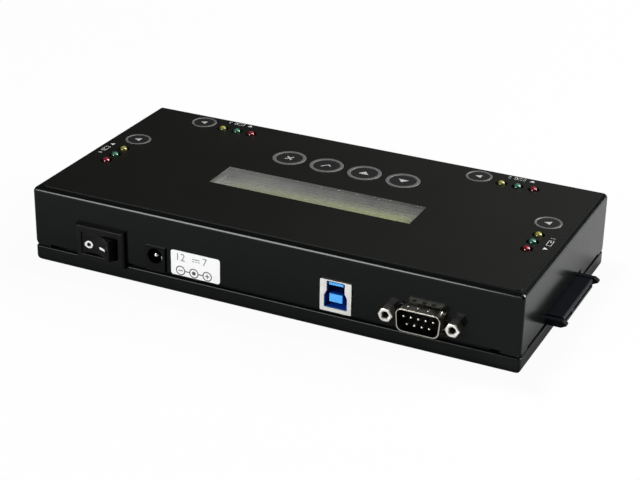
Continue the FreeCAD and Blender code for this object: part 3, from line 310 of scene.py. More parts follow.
socket_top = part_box("dc_jack_body")[1].z
socket_plastic, shade = new_finish("socket_plastic")
# Painted highlight: lighter from just below the bevel up to the top.
painted_highlight_top = shade.along(2).rise(socket_top - EDGE_HEIGHT - EDGE_BLUR, socket_top - EDGE_HEIGHT)
shade.surface({
    "Base Color": painted_highlight_top.tint(SOCKET_BLACK, SOCKET_EDGE_HIGHLIGHT),
    "Roughness": 0.30 + 0.08 * shade.grain(FLOW_SIZE),
    "IOR": 1.20,
    "Normal": shade.relief(shade.grain(SPARK_SIZE), 0.004 * MM),
})
give(socket_plastic, "dc_jack_body")
give(plated("pin_nickel", BRIGHT_NICKEL, roughness=0.14), "dc_jack_pin", "dc_jack_contact")


# Nine-way serial plug: a drawn steel shell round a black insulator with nine round-nosed pins.
# Dents in the shell grip the cable's socket. Two hexagon jackscrews hold the plug to the panel,
# and their threaded holes take the cable's screws.

STEEL = (0.52, 0.50, 0.44)
HOLLOW_PAINTED_SHADE = (0.05, 0.045, 0.040)
SHELL_HALF_HEIGHT = 4.42 * MM
SHELL_HALF_HIGH = 8.55 * MM
SHELL_HALF_LOW = 7.8 * MM
SHELL_CORNER = 2.4 * MM
SHELL_SHEET = 0.45 * MM
WELD_DISTANCE = 0.001 * MM
DENT_OFFSETS = (-4.45 * MM, -0.75 * MM, 2.95 * MM)
DENT_BACK = 2.5 * MM
DENT_RADIUS = 1.0 * MM
DENT_DEPTH = 0.45 * MM
PIN_PLATE = (0.92, 0.90, 0.85)
PIN_RADIUS = 0.5 * MM
PIN_PITCH = 2.77 * MM
PIN_ROWS = {1: (-2, -1, 0, 1, 2), -1: (-1.5, -0.5, 0.5, 1.5)}
PIN_NOSE_RINGS = 5
INSULATOR_BLACK = (0.0014, 0.0013, 0.0013)
JACK_SPACING = 24.99 * MM
JACK_HEX = 2.74 * MM
JACK_FACE = 2.2 * MM
JACK_STUD = 1.4 * MM
JACK_HEAD = 4.5 * MM
JACK_BRIGHT = 0.4 * MM
JACK_SIDE_SHADE = 0.7
JACK_PLATE = (0.88, 0.86, 0.80)
CHAMFER_SLOPE = 0.6
MOUTH_RADIUS = 1.65 * MM
MOUTH_DEPTH = 0.45 * MM
BORE_RADIUS = 1.15 * MM
BORE_DEPTH = 4.0 * MM
THREAD_PITCH = 0.635 * MM
THREAD_DEPTH = 0.22 * MM
STEPS_PER_TURN = 24
HEX_STEPS = 72
SHARP_ANGLE = math.radians(28)
TO_FRONT = Matrix.Rotation(math.radians(90), 4, "X")
TO_BACK = Matrix.Rotation(math.radians(-90), 4, "X")


def finished(name, mesh):
    """A mesh of the scene from one that was being built, smooth except along sharp edges."""
    made = bpy.data.meshes.new(name)
    mesh.to_mesh(made)
    mesh.free()
    made.shade_smooth()
    made.set_sharp_from_angle(angle=SHARP_ANGLE)
    return made


def add_piece(name, mesh, finish, body):
    """Put a mesh into the scene as a piece that moves with a body."""
    piece = bpy.data.objects.new(name, mesh)
    bpy.context.scene.collection.objects.link(piece)
    mesh.materials.clear()
    mesh.materials.append(finish)
    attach(piece, body)
    return piece


def add_rings(mesh, rings, steps, place):
    """Turn rings about Z, from one closed end to the other; a ring gives radius and height at an angle."""
    rows = []
    for ring in rings:
        row = []
        for step in range(steps):
            angle = math.tau * step / steps
            radius, height = ring(angle)
            spot = place @ Vector((radius * math.cos(angle), radius * math.sin(angle), height))
            row.append(mesh.verts.new(spot))
        rows.append(row)
    for here, there in zip(rows, rows[1:]):
        for step in range(steps):
            other = (step + 1) % steps
            mesh.faces.new((here[step], here[other], there[other], there[step]))
    mesh.faces.new(rows[0][::-1])
    mesh.faces.new(rows[-1])


def even(radius, height):
    """A round ring."""
    return lambda angle: (radius, height)


def hex_reach(angle):
    """How far a side of the jackscrew's hexagon is from its middle, at an angle."""
    return JACK_HEX * math.cos(math.pi / 6) / math.cos(angle % (math.pi / 3) - math.pi / 6)


def add_thread(mesh, place):
    """A ridge that winds along +Z inside the bore, thin at its crest."""
    turns = (BORE_DEPTH - MOUTH_DEPTH) / THREAD_PITCH - 1
    rows = []
    for step in range(round(turns * STEPS_PER_TURN) + 1):
        turn = step / STEPS_PER_TURN
        angle = math.tau * turn
        crest = BORE_RADIUS - THREAD_DEPTH * min(1, 2 * turn, 2 * (turns - turn))
        row = []
        for reach, lift in ((BORE_RADIUS, 0.05), (crest, 0.5), (BORE_RADIUS, 0.95)):
            spot = Vector((reach * math.cos(angle), reach * math.sin(angle), (turn + lift) * THREAD_PITCH))
            row.append(mesh.verts.new(place @ spot))
        rows.append(row)
    for here, there in zip(rows, rows[1:]):
        for side in range(3):
            other = (side + 1) % 3
            mesh.faces.new((here[side], there[side], there[other], here[other]))


def dented(node_name, spots):
    """A copy of a sheet-metal piece, with a shallow round dent at each spot."""
    sheet = bmesh.new()
    sheet.from_mesh(nodes[node_name].data)
    bmesh.ops.remove_doubles(sheet, verts=sheet.verts, dist=WELD_DISTANCE)
    balls = bmesh.new()
    for spot in spots:
        place = Matrix.Translation(spot)
        bmesh.ops.create_icosphere(balls, subdivisions=4, radius=DENT_RADIUS, matrix=place)
    whole = bpy.data.objects.new("whole_sheet", finished("whole_sheet", sheet))
    punch = bpy.data.objects.new("punch", finished("punch", balls))
    for thing in (whole, punch):
        bpy.context.scene.collection.objects.link(thing)
    whole.modifiers.new("dents", "BOOLEAN").object = punch
    bpy.context.view_layer.update()
    pressed = bmesh.new()
    pressed.from_object(whole, bpy.context.evaluated_depsgraph_get())
    for thing in (whole, punch):
        bpy.data.objects.remove(thing)
    return finished(f"{node_name}_dented", pressed)


def hollow_plate(name, colour, roughness, outside):
    """Plated metal with painted shade in a hollow; outside gives, from a shade, 0 in there and 1
    elsewhere.
    """
    metal, shade = new_finish(name)
    shade.surface({
        "Base Color": outside(shade).tint(HOLLOW_PAINTED_SHADE, colour),
        "Metallic": 1.0,
        "Roughness": roughness + PLATE_STAIN * shade.grain(PLATE_CLOUD, detail=4.0),
        "Normal": shade.relief(shade.grain(SCRATCH_SIZE), SCRATCH_DEPTH),
    })
    return metal


def outside_shell(shade):
    """Measured from the D's rounded outline, so that only the inner walls count as the hollow."""
    up = shade.along(2) - plug_middle.z
    slope = (SHELL_HALF_HIGH - SHELL_HALF_LOW) / (2 * SHELL_HALF_HEIGHT)
    half_width = (SHELL_HALF_HIGH + SHELL_HALF_LOW) / 2 + slope * up
    across = shade.math("ABSOLUTE", shade.along(0) - plug_middle.x, 0)
    past_side = shade.math("MAXIMUM", across - half_width + SHELL_CORNER, 0)
    past_top = shade.math("MAXIMUM", shade.math("ABSOLUTE", up, 0) - SHELL_HALF_HEIGHT + SHELL_CORNER, 0)
    reach = shade.math("SQRT", past_side * past_side + past_top * past_top, 0)
    return reach.rise(SHELL_CORNER - SHELL_SHEET, SHELL_CORNER - 0.8 * SHELL_SHEET)


def outside_bore(shade):
    """Measured from the axis of the nearer jackscrew; the bore and the sides behind the face get painted
    shade.
    """
    up = shade.along(2) - plug_middle.z
    across = shade.math("ABSOLUTE", shade.along(0) - plug_middle.x, 0) - JACK_SPACING / 2
    bright = shade.math("SQRT", across * across + up * up, 0).rise(0.9 * BORE_RADIUS, MOUTH_RADIUS)
    behind = shade.along(1).rise(jack_low.y + JACK_BRIGHT, jack_low.y + 3 * JACK_BRIGHT)
    return bright * (1 - JACK_SIDE_SHADE * behind)


shell_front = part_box("serial_shell")[0].y
pin_low, pin_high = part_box("serial_pins")
jack_low, jack_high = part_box("serial_jackscrews")
plug_middle = (jack_low + jack_high) / 2

dents = [
    Vector((plug_middle.x + offset, shell_front + DENT_BACK,
            plug_middle.z + side * (SHELL_HALF_HEIGHT + DENT_RADIUS - DENT_DEPTH)))
    for offset in DENT_OFFSETS for side in (-1, 1)
]
# Painted shade on the shell's inner walls, and in the jackscrews' bores and on their sides.
shell_finish = hollow_plate("shell_plate", STEEL, roughness=0.20, outside=outside_shell)
shell = add_piece("serial_shell_dented", dented("serial_shell", dents), shell_finish, "case")
shell.modifiers.new("flat_sides", "WEIGHTED_NORMAL").keep_sharp = True
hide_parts("serial_shell")

pins = bmesh.new()
shank = pin_high.y - pin_low.y - PIN_RADIUS
nose = [math.pi / 2 * step / PIN_NOSE_RINGS for step in range(PIN_NOSE_RINGS)]
pin_rings = [even(PIN_RADIUS, 0)]
pin_rings += [even(PIN_RADIUS * math.cos(turn), shank + PIN_RADIUS * math.sin(turn)) for turn in nose]
for side, steps in PIN_ROWS.items():
    height = pin_high.z - PIN_RADIUS if side > 0 else pin_low.z + PIN_RADIUS
    for step in steps:
        root = Vector((plug_middle.x + step * PIN_PITCH, pin_high.y, height))
        add_rings(pins, pin_rings, STEPS_PER_TURN, Matrix.Translation(root) @ TO_FRONT)
pin_piece = add_piece("serial_pin_noses", finished("serial_pin_noses", pins),
                      plated("pin_plate", PIN_PLATE, roughness=0.16), "case")
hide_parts("serial_pins")

jacks = bmesh.new()
jack_rings = [
    even(JACK_STUD, jack_low.y + JACK_HEAD - jack_high.y),
    even(JACK_STUD, 0),
    lambda angle: (hex_reach(angle), 0),
    lambda angle: (hex_reach(angle), JACK_HEAD - CHAMFER_SLOPE * (hex_reach(angle) - JACK_FACE)),
    even(JACK_FACE, JACK_HEAD),
    even(MOUTH_RADIUS, JACK_HEAD),
    even(BORE_RADIUS, JACK_HEAD - MOUTH_DEPTH),
    even(BORE_RADIUS, JACK_HEAD - BORE_DEPTH),
]
for side in (-1, 1):
    foot = Vector((plug_middle.x + side * JACK_SPACING / 2, jack_low.y + JACK_HEAD, plug_middle.z))
    mouth = foot + Vector((0, MOUTH_DEPTH - JACK_HEAD, 0))
    add_rings(jacks, jack_rings, HEX_STEPS, Matrix.Translation(foot) @ TO_FRONT)
    add_thread(jacks, Matrix.Translation(mouth) @ TO_BACK)
jack_finish = hollow_plate("jackscrew_plate", JACK_PLATE, roughness=0.34, outside=outside_bore)
jack_piece = add_piece("jackscrews_threaded", finished("jackscrews_threaded", jacks), jack_finish,
                       "case")
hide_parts("serial_jackscrews")

give(moulded("insulator", INSULATOR_BLACK, roughness=0.5, ior=1.15), "serial_insulator")


# Display module: a stamped steel frame over a glass cell with a yellow-green reflector behind it.
# It hangs some way below the window, so that a slanting look meets the frame beyond the glass.

FRAME_GREY = (0.46, 0.46, 0.45)
FRAME_SIDE_SHADE = (0.15, 0.155, 0.13)
FRAME_BEND = 0.15 * MM
FRAME_CLOUD = 5 * MM
FRAME_GRAIN = 0.3 * MM
FRAME_GRAIN_DEPTH = 0.003 * MM
LCD_OLIVE = (0.70, 0.75, 0.24)
LCD_CELL = (0.67, 0.72, 0.22)
CELL_PITCH = (3.70 * MM, 6.10 * MM)
CELL_FILL = (0.87, 0.91)
CELL_COUNT = (20, 2)
CELL_BLUR = 0.02
CELL_GRAIN = 3 * MM
GLASS_OLIVE = (0.72, 0.77, 0.44)
GLASS_EDGE_SHADE_GREY = (0.47, 0.475, 0.43)
GLASS_EDGE = 7.5 * MM
GLASS_MILK = 0.85
GLASS_CLEARING = 0.40
CLEAR_TINT = (0.98, 0.98, 0.97, 1)
POLISH_CLOUD = 9 * MM

frame_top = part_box("lcd_bezel")[1].z
# Painted shade: the frame is darker below its top face, on the walls of its opening.
coat, shade = new_finish("frame_coat")
shade.surface({
    "Base Color": shade.along(2).rise(frame_top - FRAME_BEND, frame_top).tint(FRAME_SIDE_SHADE, FRAME_GREY),
    "Roughness": 0.45 + 0.1 * shade.grain(FRAME_CLOUD),
    "Normal": shade.relief(shade.grain(FRAME_GRAIN), FRAME_GRAIN_DEPTH),
})
give(coat, "lcd_bezel")

light_low, light_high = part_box("lcd_backlight")
light_middle = (light_low + light_high) / 2
reflector, shade = new_finish("reflector")
cells = 1.0
for axis, (count, pitch, fill) in enumerate(zip(CELL_COUNT, CELL_PITCH, CELL_FILL)):
    run = (shade.along(axis) - (light_middle[axis] - count * pitch / 2)) / pitch
    inside = run.rise(0, CELL_BLUR) * (1 - run.rise(count - CELL_BLUR, count))
    cells = (1 - (run % 1.0).rise(fill, fill + CELL_BLUR)) * inside * cells
shade.surface({
    "Base Color": cells.tint(LCD_OLIVE, LCD_CELL),
    "Roughness": 0.5 + 0.1 * shade.grain(CELL_GRAIN),
})
give(reflector, "lcd_backlight")


def see_through(name, roughness, look):
    """A clear glossy sheet; look gives, from a shade, its milky colour and how much of that shows."""
    pane, shade = new_finish(name)
    colour, haze = look(shade)
    shade.surface({"Base Color": colour, "Roughness": 0.7, "Specular IOR Level": 0.0})
    milk = Shade(pane.node_tree, pane.node_tree.nodes["Principled BSDF"].outputs[0])
    clear = shade.node("BsdfTransparent", {}, {"Color": CLEAR_TINT})
    sheet = shade.node("MixShader", {}, {0: haze, 1: clear, 2: milk})
    smears = shade.grain(POLISH_CLOUD, detail=4.0)
    polish = shade.node("BsdfGlossy", {}, {"Roughness": roughness + 0.05 * smears})
    inward = 1 - shade.node("NewGeometry", output="Backfacing")
    skin = shade.node("Fresnel", {}, {"IOR": 1.42}) * inward
    both = shade.node("MixShader", {}, {0: skin, 1: sheet, 2: polish})
    shade.feed(pane.node_tree.nodes["Material Output"], {"Surface": both})
    return pane


def cell_look(shade):
    """The cell is olive in the middle and goes grey and milky towards its frame: painted shade and
    reflection.
    """
    low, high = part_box("display_window")
    middle = 1.0
    for axis in (0, 1):
        run = shade.along(axis)
        middle = run.rise(low[axis], low[axis] + GLASS_EDGE) * (
            1 - run.rise(high[axis] - GLASS_EDGE, high[axis])) * middle
    return middle.tint(GLASS_EDGE_SHADE_GREY, GLASS_OLIVE), GLASS_MILK - GLASS_CLEARING * middle


give(see_through("cell_glass", roughness=0.15, look=cell_look), "lcd_glass")


# Menu keys and start keys: black moulded caps that press small switches on the control board.
# Each has a raised grey ring and a small printed sign in its dished middle. The signs' outlines are
# in millimetres from the middle of the key.

KEY_BLACK = (0.0085, 0.0085, 0.0083)
RING_GREY = (0.100, 0.100, 0.099)
SIGN_GREY = (0.42, 0.42, 0.41)
KEY_FLANGE = 0.9 * MM
KEY_DISH = 0.15 * MM
KEY_GRAIN = 0.3 * MM
KEY_GRAIN_DEPTH = 0.004 * MM
RING_BLUR = 0.1 * MM
INK_THICKNESS = 0.015 * MM
INK_GRAIN = 0.5 * MM
INK_THIN = 0.8
MENU_RIM = 1.4 * MM
START_RIM = 0.9 * MM

CROSS = [(-1.6, -1.2), (-1.2, -1.6), (0, -0.4), (1.2, -1.6), (1.6, -1.2), (0.4, 0),
         (1.6, 1.2), (1.2, 1.6), (0, 0.4), (-1.2, 1.6), (-1.6, 1.2), (-0.4, 0)]
TICK = [(-2.0, 0.1), (-1.6, 0.5), (-0.6, -0.5), (1.6, 1.7), (2.0, 1.3), (-0.6, -1.3)]
DOWN_ARROW = [(-2.1, 1.1), (2.1, 1.1), (0, -1.5)]
UP_ARROW = [(-2.1, -1.1), (0, 1.5), (2.1, -1.1)]
START_ARROW = [(-1.0, -1.4), (1.5, 0), (-1.0, 1.4)]
MENU_KEYS = {"escape": CROSS, "enter": TICK, "down": DOWN_ARROW, "up": UP_ARROW}


def ink_mesh(name, outlines, origin, reading, up):
    """Thin flat ink: closed outlines in millimetres, an outline inside another being a hole."""
    drawing = bpy.data.curves.new(name, "CURVE")
    drawing.dimensions = "2D"
    drawing.fill_mode = "BOTH"
    for outline in outlines:
        line = drawing.splines.new("POLY")
        line.points.add(len(outline) - 1)
        for point, (u, v) in zip(line.points, outline):
            point.co = (u * MM, v * MM, 0, 1)
        line.use_cyclic_u = True
    return lay_ink(name, drawing, origin, reading, up)


def lay_ink(name, drawing, origin, reading, up):
    """Turn a flat drawing into a thin mesh that lies on a surface at the origin."""
    drawing.extrude = INK_THICKNESS / 2
    sketch = bpy.data.objects.new(f"{name}_sketch", drawing)
    bpy.context.scene.collection.objects.link(sketch)
    bpy.context.view_layer.update()
    mesh = bpy.data.meshes.new_from_object(sketch.evaluated_get(bpy.context.evaluated_depsgraph_get()))
    bpy.data.objects.remove(sketch)
    bpy.data.curves.remove(drawing)
    outward = reading.cross(up)
    axes = Matrix((reading, up, outward)).transposed().to_4x4()
    mesh.transform(Matrix.Translation(origin + outward * INK_THICKNESS / 2) @ axes)
    return mesh


def ink(name, colour):
    """Screen-printed ink: a matt colour that lies a little unevenly."""
    print_finish, shade = new_finish(name)
    cover = shade.grain(INK_GRAIN, detail=3.0)
    thin = tuple(INK_THIN * part for part in colour)
    shade.surface({"Base Color": cover.tint(thin, colour), "Roughness": 0.5 + 0.1 * cover})
    return print_finish


def ringed_cap(name, middle, radius, rim, top):
    """A key's plastic, black with its rim printed grey."""
    cap, shade = new_finish(name)
    flat = shade.node("VectorMath", {"operation": "MULTIPLY"}, {0: shade.place(), 1: (1, 1, 0)})
    reach = shade.node("VectorMath", {"operation": "DISTANCE"}, {0: flat, 1: (middle.x, middle.y, 0)}, 1)
    ring = reach.rise(radius - rim - RING_BLUR, radius - rim)
    ring = ring * shade.along(2).rise(top - 2 * KEY_DISH, top - KEY_DISH)
    speck = shade.grain(KEY_GRAIN, detail=3.0)
    shade.surface({
        "Base Color": ring.tint(KEY_BLACK, RING_GREY),
        "Roughness": 0.40 + 0.12 * speck,
        "IOR": 1.40,
        "Normal": shade.relief(speck, KEY_GRAIN_DEPTH),
    })
    return cap


def dress_key(node_name, body, sign, rim, sign_finish):
    """Ring and sign of one key; signs stand upright for someone on the far, +Y side."""
    low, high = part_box(node_name)
    middle = (low + high) / 2
    radius = (high.x - low.x) / 2 - KEY_FLANGE
    give(ringed_cap(f"{node_name}_plastic", middle, radius, rim, high.z), node_name)
    face = Vector((middle.x, middle.y, high.z - KEY_DISH))
    mesh = ink_mesh(f"{node_name}_sign", [sign], face, Vector((-1, 0, 0)), Vector((0, -1, 0)))
    add_piece(f"{node_name}_sign", mesh, sign_finish, body)


sign_ink = ink("sign_ink", SIGN_GREY)
for key, sign in MENU_KEYS.items():
    dress_key(f"key_{key}", f"{key}_button", sign, MENU_RIM, sign_ink)
for number in DRIVE_NUMBERS:
    dress_key(f"start_key_{number}", f"start_button_{number}", START_ARROW, START_RIM, sign_ink)


# Lamps: three-millimetre epoxy light-emitting diodes, unlit, three beside each start key.
# Each stands on a spacer on the control board and puts its dome through the cover.

LAMP_COLOURS = {
    "yellow": ((0.045, 0.042, 0.006), (0.25, 0.24, 0.040)),
    "green": ((0.005, 0.026, 0.016), (0.036, 0.165, 0.10)),
    "red": ((0.034, 0.002, 0.003), (0.22, 0.009, 0.019)),
}
DOME_SHOWN = 1.1 * MM
EPOXY_CLOUD = 1.5 * MM

# Painted shade and highlight: each dome is darker low down and lighter towards its top.
for colour, (deep, bright) in LAMP_COLOURS.items():
    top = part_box(f"leds_{colour}")[1].z
    epoxy, shade = new_finish(f"{colour}_epoxy")
    shade.surface({
        "Base Color": shade.along(2).rise(top - DOME_SHOWN, top).tint(deep, bright),
        "Roughness": 0.10 + 0.06 * shade.grain(EPOXY_CLOUD),
        "Coat Weight": 0.5,
        "Coat Roughness": 0.04,
    })
    give(epoxy, f"leds_{colour}")


# Top cover: folded steel sheet in the same satin black, bent down on four sides.
# Its lower edge is stepped up over each socket, and its top is punched for keys, lamps and window.

give(paint, "top_cover")


# Rocker switch: a black nylon housing snapped into the panel, with a hollow-faced rocker on a cross pin.
# The printed circle and stroke, in millimetres from the pivot, follow the hollow.
# Two leads run from the switch's terminals to the main board.

SWITCH_BLACK = (0.0032, 0.0032, 0.0038)
BRASS = (0.72, 0.52, 0.24)
WIRE_BLACK = (0.010, 0.010, 0.010)
LEGEND_WHITE = (0.86, 0.86, 0.86)
HOLLOW_RADIUS = 11.24 * MM
HOLLOW_FLOOR = 2.5 * MM
ROCKER_THROW = 13.0
INK_LIFT = 0.03 * MM
RING_POINTS = 40
BAR_POINTS = 8


def circle_outline(radius, middle=(0, 0)):
    turns = [math.tau * step / RING_POINTS for step in range(RING_POINTS)]
    return [(middle[0] + radius * math.cos(turn), middle[1] + radius * math.sin(turn)) for turn in turns]


def bar_outline(length, width, middle=(0, 0)):
    """A straight bar with points along its two long sides, so that it can be bent."""
    u, v = middle
    run = [u - length / 2 + length * step / BAR_POINTS for step in range(BAR_POINTS + 1)]
    return [(x, v - width / 2) for x in run] + [(x, v + width / 2) for x in reversed(run)]


ROCKER_SIGNS = {
    "off": [circle_outline(1.5, (-4.3, -0.5)), circle_outline(0.8, (-4.3, -0.5))],
    "on": [bar_outline(3.2, 0.85, (1.95, -0.8))],
}

give(moulded("switch_plastic", SWITCH_BLACK, roughness=0.30, ior=1.22, edge=0.7 * MM),
     "switch_housing", "switch_rocker")
give(plated("terminal_brass", BRASS, roughness=0.25), "switch_terminals")
give(moulded("wire_cover", WIRE_BLACK, roughness=0.45), "switch_leads")

legend = ink("legend_white", LEGEND_WHITE)
hinge = next(joint for joint in frame["joints"] if joint["name"] == "rocker_tilt")
tilted = Matrix.Translation(hinge["pos_m"]) @ Matrix.Rotation(math.radians(-ROCKER_THROW), 4, "Z")
for name, outlines in ROCKER_SIGNS.items():
    mesh = ink_mesh(f"rocker_sign_{name}", outlines, Vector(), Vector((1, 0, 0)), Vector((0, 0, 1)))
    for point in mesh.vertices:
        hollow = math.sqrt(HOLLOW_RADIUS ** 2 - point.co.x ** 2) - HOLLOW_RADIUS - HOLLOW_FLOOR
        point.co.y += hollow - INK_LIFT
    mesh.transform(tilted)
    add_piece(f"rocker_sign_{name}", mesh, legend, "rocker")


# Power label: a white paper sticker beside the power socket, printed in grey.
# It shows the supply as plain numbers with the direct-current sign, and which pole is in the middle.
# The print is laid out in millimetres from the middle of the label.

LABEL_WHITE = (0.90, 0.90, 0.90)
LABEL_SHADE = 0.96
LABEL_GREY = (0.07, 0.07, 0.075)
FIBRE_SIZE = 0.4 * MM
FIBRE_DEPTH = 0.003 * MM
READING = Vector((1, 0, 0))
UP = Vector((0, 0, 1))
ROW_SPACING = 5.6
ROW_MIDDLE = -0.65
PLUG_ROW = -2.95
NUMBER_ROW = 2.35
NUMBER_SIZE = 4.4
NUMBER_THINNING = 0.05
LABEL_NUMBERS = {"left": ("12", -6.3), "right": ("7", 3.9)}
RING_RADIUS = 1.95
RING_LINE = 0.42
LINK_GAP = 0.04
DOT_RADIUS = 0.8
MINUS = (1.8, 0.36)
PLUS = [(-0.9, -0.2), (-0.2, -0.2), (-0.2, -0.9), (0.2, -0.9), (0.2, -0.2), (0.9, -0.2),
        (0.9, 0.2), (0.2, 0.2), (0.2, 0.9), (-0.2, 0.9), (-0.2, 0.2), (-0.9, 0.2)]
CURRENT_MIDDLE = 0.3
CURRENT_LIFT = 0.45
CURRENT_STROKE = (3.0, 0.3)
CURRENT_DASH = (0.7, 0.3)
DASH_PITCH = 1.15

paper, shade = new_finish("label_paper")
fibre = shade.grain(FIBRE_SIZE, detail=4.0)
shade.surface({
    "Base Color": fibre.tint(tuple(LABEL_SHADE * part for part in LABEL_WHITE), LABEL_WHITE),
    "Roughness": 0.42 + 0.1 * fibre,
    "Normal": shade.relief(fibre, FIBRE_DEPTH),
})
give(paper, "power_label")

label_low, label_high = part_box("power_label")
label_face = Vector(((label_low.x + label_high.x) / 2, label_low.y, (label_low.z + label_high.z) / 2))
label_ink = ink("label_ink", LABEL_GREY)


def numeral_mesh(name, text, size, origin, reading, up):
    """A plain number in a light sans-serif, centred on a point."""
    drawing = bpy.data.curves.new(name, "FONT")
    drawing.body = text
    drawing.size = size * MM
    drawing.offset = -NUMBER_THINNING * MM
    drawing.align_x = "CENTER"
    drawing.align_y = "CENTER"
    return lay_ink(name, drawing, origin, reading, up)


def ring_outlines(u):
    spot = (ROW_MIDDLE + u, PLUG_ROW)
    return [circle_outline(RING_RADIUS, spot), circle_outline(RING_RADIUS - RING_LINE, spot)]


link_length = ROW_SPACING - 2 * RING_RADIUS - LINK_GAP
polarity = [
    *ring_outlines(-ROW_SPACING), *ring_outlines(0), *ring_outlines(ROW_SPACING),
    bar_outline(*MINUS, (ROW_MIDDLE - ROW_SPACING, PLUG_ROW)),
    circle_outline(DOT_RADIUS, (ROW_MIDDLE, PLUG_ROW)),
    [(ROW_MIDDLE + ROW_SPACING + u, PLUG_ROW + v) for u, v in PLUS],
    bar_outline(link_length, RING_LINE, (ROW_MIDDLE - ROW_SPACING / 2, PLUG_ROW)),
    bar_outline(link_length, RING_LINE, (ROW_MIDDLE + ROW_SPACING / 2, PLUG_ROW)),
]
current_sign = [bar_outline(*CURRENT_STROKE, (CURRENT_MIDDLE, NUMBER_ROW + CURRENT_LIFT))]
for step in (-1, 0, 1):
    dash_middle = (CURRENT_MIDDLE + DASH_PITCH * step, NUMBER_ROW - CURRENT_LIFT)
    current_sign.append(bar_outline(*CURRENT_DASH, dash_middle))
mesh = ink_mesh("label_print", polarity + current_sign, label_face, READING, UP)
add_piece("label_print", mesh, label_ink, "case")
for name, (text, u) in LABEL_NUMBERS.items():
    spot = label_face + READING * u * MM + UP * NUMBER_ROW * MM
    mesh = numeral_mesh(f"label_number_{name}", text, NUMBER_SIZE, spot, READING, UP)
    add_piece(f"label_number_{name}", mesh, label_ink, "case")


# Top film: a black polyester sheet with a fine matt texture, glued over the cover's top.
# White marks point to the four drive sockets: an arrow, a drive and the socket's number.
# They are laid out in millimetres, each group from a place beside its start key.

FILM_DEEP = (0.0036, 0.0035, 0.0029)
FILM_LIGHT = (0.0053, 0.0052, 0.0046)
FILM_CLOUD = 30 * MM
FILM_GRAIN = 0.16 * MM
FILM_GRAIN_DEPTH = 0.002 * MM
MARK_WHITE = (0.60, 0.60, 0.58)
MARK_ARROW = [(-1.0, 0.8), (0, -0.9), (1.0, 0.8)]
DRIVE_OUTER = bar_outline(4.4, 2.0, (5.0, 0))
DRIVE_INNER = bar_outline(4.0, 1.6, (5.0, 0))
DRIVE_DOT = circle_outline(0.35, (6.1, 0))
MARK_NUMBER_PLACE = 9.2
MARK_NUMBER_SIZE = 2.9
SOCKET_MARKS = {
    1: ((6.0, -21.2), Vector((0, 1, 0))),
    2: ((20.2, 4.7), Vector((-1, 0, 0))),
    3: ((19.0, 5.1), Vector((-1, 0, 0))),
    4: ((-6.7, -8.9), Vector((0, -1, 0))),
}

film, shade = new_finish("matt_film")
sheet_cloud = shade.grain(FILM_CLOUD)
shade.surface({
    "Base Color": sheet_cloud.tint(FILM_DEEP, FILM_LIGHT),
    "Roughness": 0.34 + 0.06 * sheet_cloud,
    "IOR": 1.38,
    "Normal": shade.relief(shade.grain(FILM_GRAIN, detail=1.0), FILM_GRAIN_DEPTH),
})
give(film, "top_overlay")

film_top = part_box("top_overlay")[1].z
mark_ink = ink("mark_ink", MARK_WHITE)
for number, (offset, reading) in SOCKET_MARKS.items():
    low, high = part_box(f"start_key_{number}")
    key_middle = (low + high) / 2
    up = UP.cross(reading)
    spot = Vector((key_middle.x + offset[0] * MM, key_middle.y + offset[1] * MM, film_top))
    mesh = ink_mesh(f"socket_mark_{number}", [MARK_ARROW, DRIVE_OUTER, DRIVE_INNER, DRIVE_DOT],
                    spot, reading, up)
    add_piece(f"socket_mark_{number}", mesh, mark_ink, "case")
    beside = spot + reading * MARK_NUMBER_PLACE * MM
    mesh = numeral_mesh(f"socket_number_{number}", str(number), MARK_NUMBER_SIZE, beside, reading, up)
    add_piece(f"socket_number_{number}", mesh, mark_ink, "case")


# Display window: a clear polished sheet that fills the opening in the cover and the film.
# Its milky haze is thin, and thicker at the left end, along the far edge and in a few cloudy streaks:
# painted reflection.

HAZE_DEEP = (0.29, 0.29, 0.285)
HAZE_PALE = (0.32, 0.32, 0.31)
WINDOW_HAZE = 0.02
WINDOW_LEFT_REFLECTION = 0.16
WINDOW_FAR_REFLECTION = 0.08
WINDOW_STREAK_REFLECTION = 0.06
FAR_REFLECTION_START = 4.5 * MM
STREAK_SIZE = 12 * MM
STREAK_EDGE = (0.45, 0.75)


def window_look(shade):
    """Thin haze, thicker in two gradients and a few cloudy streaks that are painted reflection."""
    low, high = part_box("display_window")
    cloud = shade.grain(STREAK_SIZE, detail=4.0)
    left_reflection = 1 - shade.along(0).rise(low.x, high.x)
    far_reflection = shade.along(1).rise(low.y + FAR_REFLECTION_START, high.y)
    haze = WINDOW_HAZE + WINDOW_LEFT_REFLECTION * left_reflection + WINDOW_FAR_REFLECTION * far_reflection + WINDOW_STREAK_REFLECTION * cloud.rise(*STREAK_EDGE)
    return cloud.tint(HAZE_DEEP, HAZE_PALE), haze


give(see_through("window_pane", roughness=0.06, look=window_look), "display_window")


# Cover screws and feet: black steel screws from below, and four moulded rubber feet glued to the tray.
# Both are hidden while the box stands on its feet.

RUBBER_BLACK = (0.009, 0.009, 0.009)
SCREW_BLACK = (0.030, 0.030, 0.032)

give(moulded("foot_rubber", RUBBER_BLACK, roughness=0.72, texture=0.012 * MM), "rubber_feet")
give(plated("black_screw", SCREW_BLACK, roughness=0.34), "cover_screws")


# Studio floor: wide and white to the camera. In reflections it is grey, with a painted shadow close beside
# the box, so that the glossy black paint stays dark.

FLOOR_PALE = (0.60, 0.60, 0.60)
FLOOR_NEAR_SHADOW = (0.06, 0.06, 0.06)
NEAR_EDGE = (2 * MM, 15 * MM)
FLOOR_HALF = 6.0
FLOOR_GLOW = {"Is Camera Ray": 0.96, "Is Glossy Ray": 0.15, "Is Transmission Ray": 0.15}

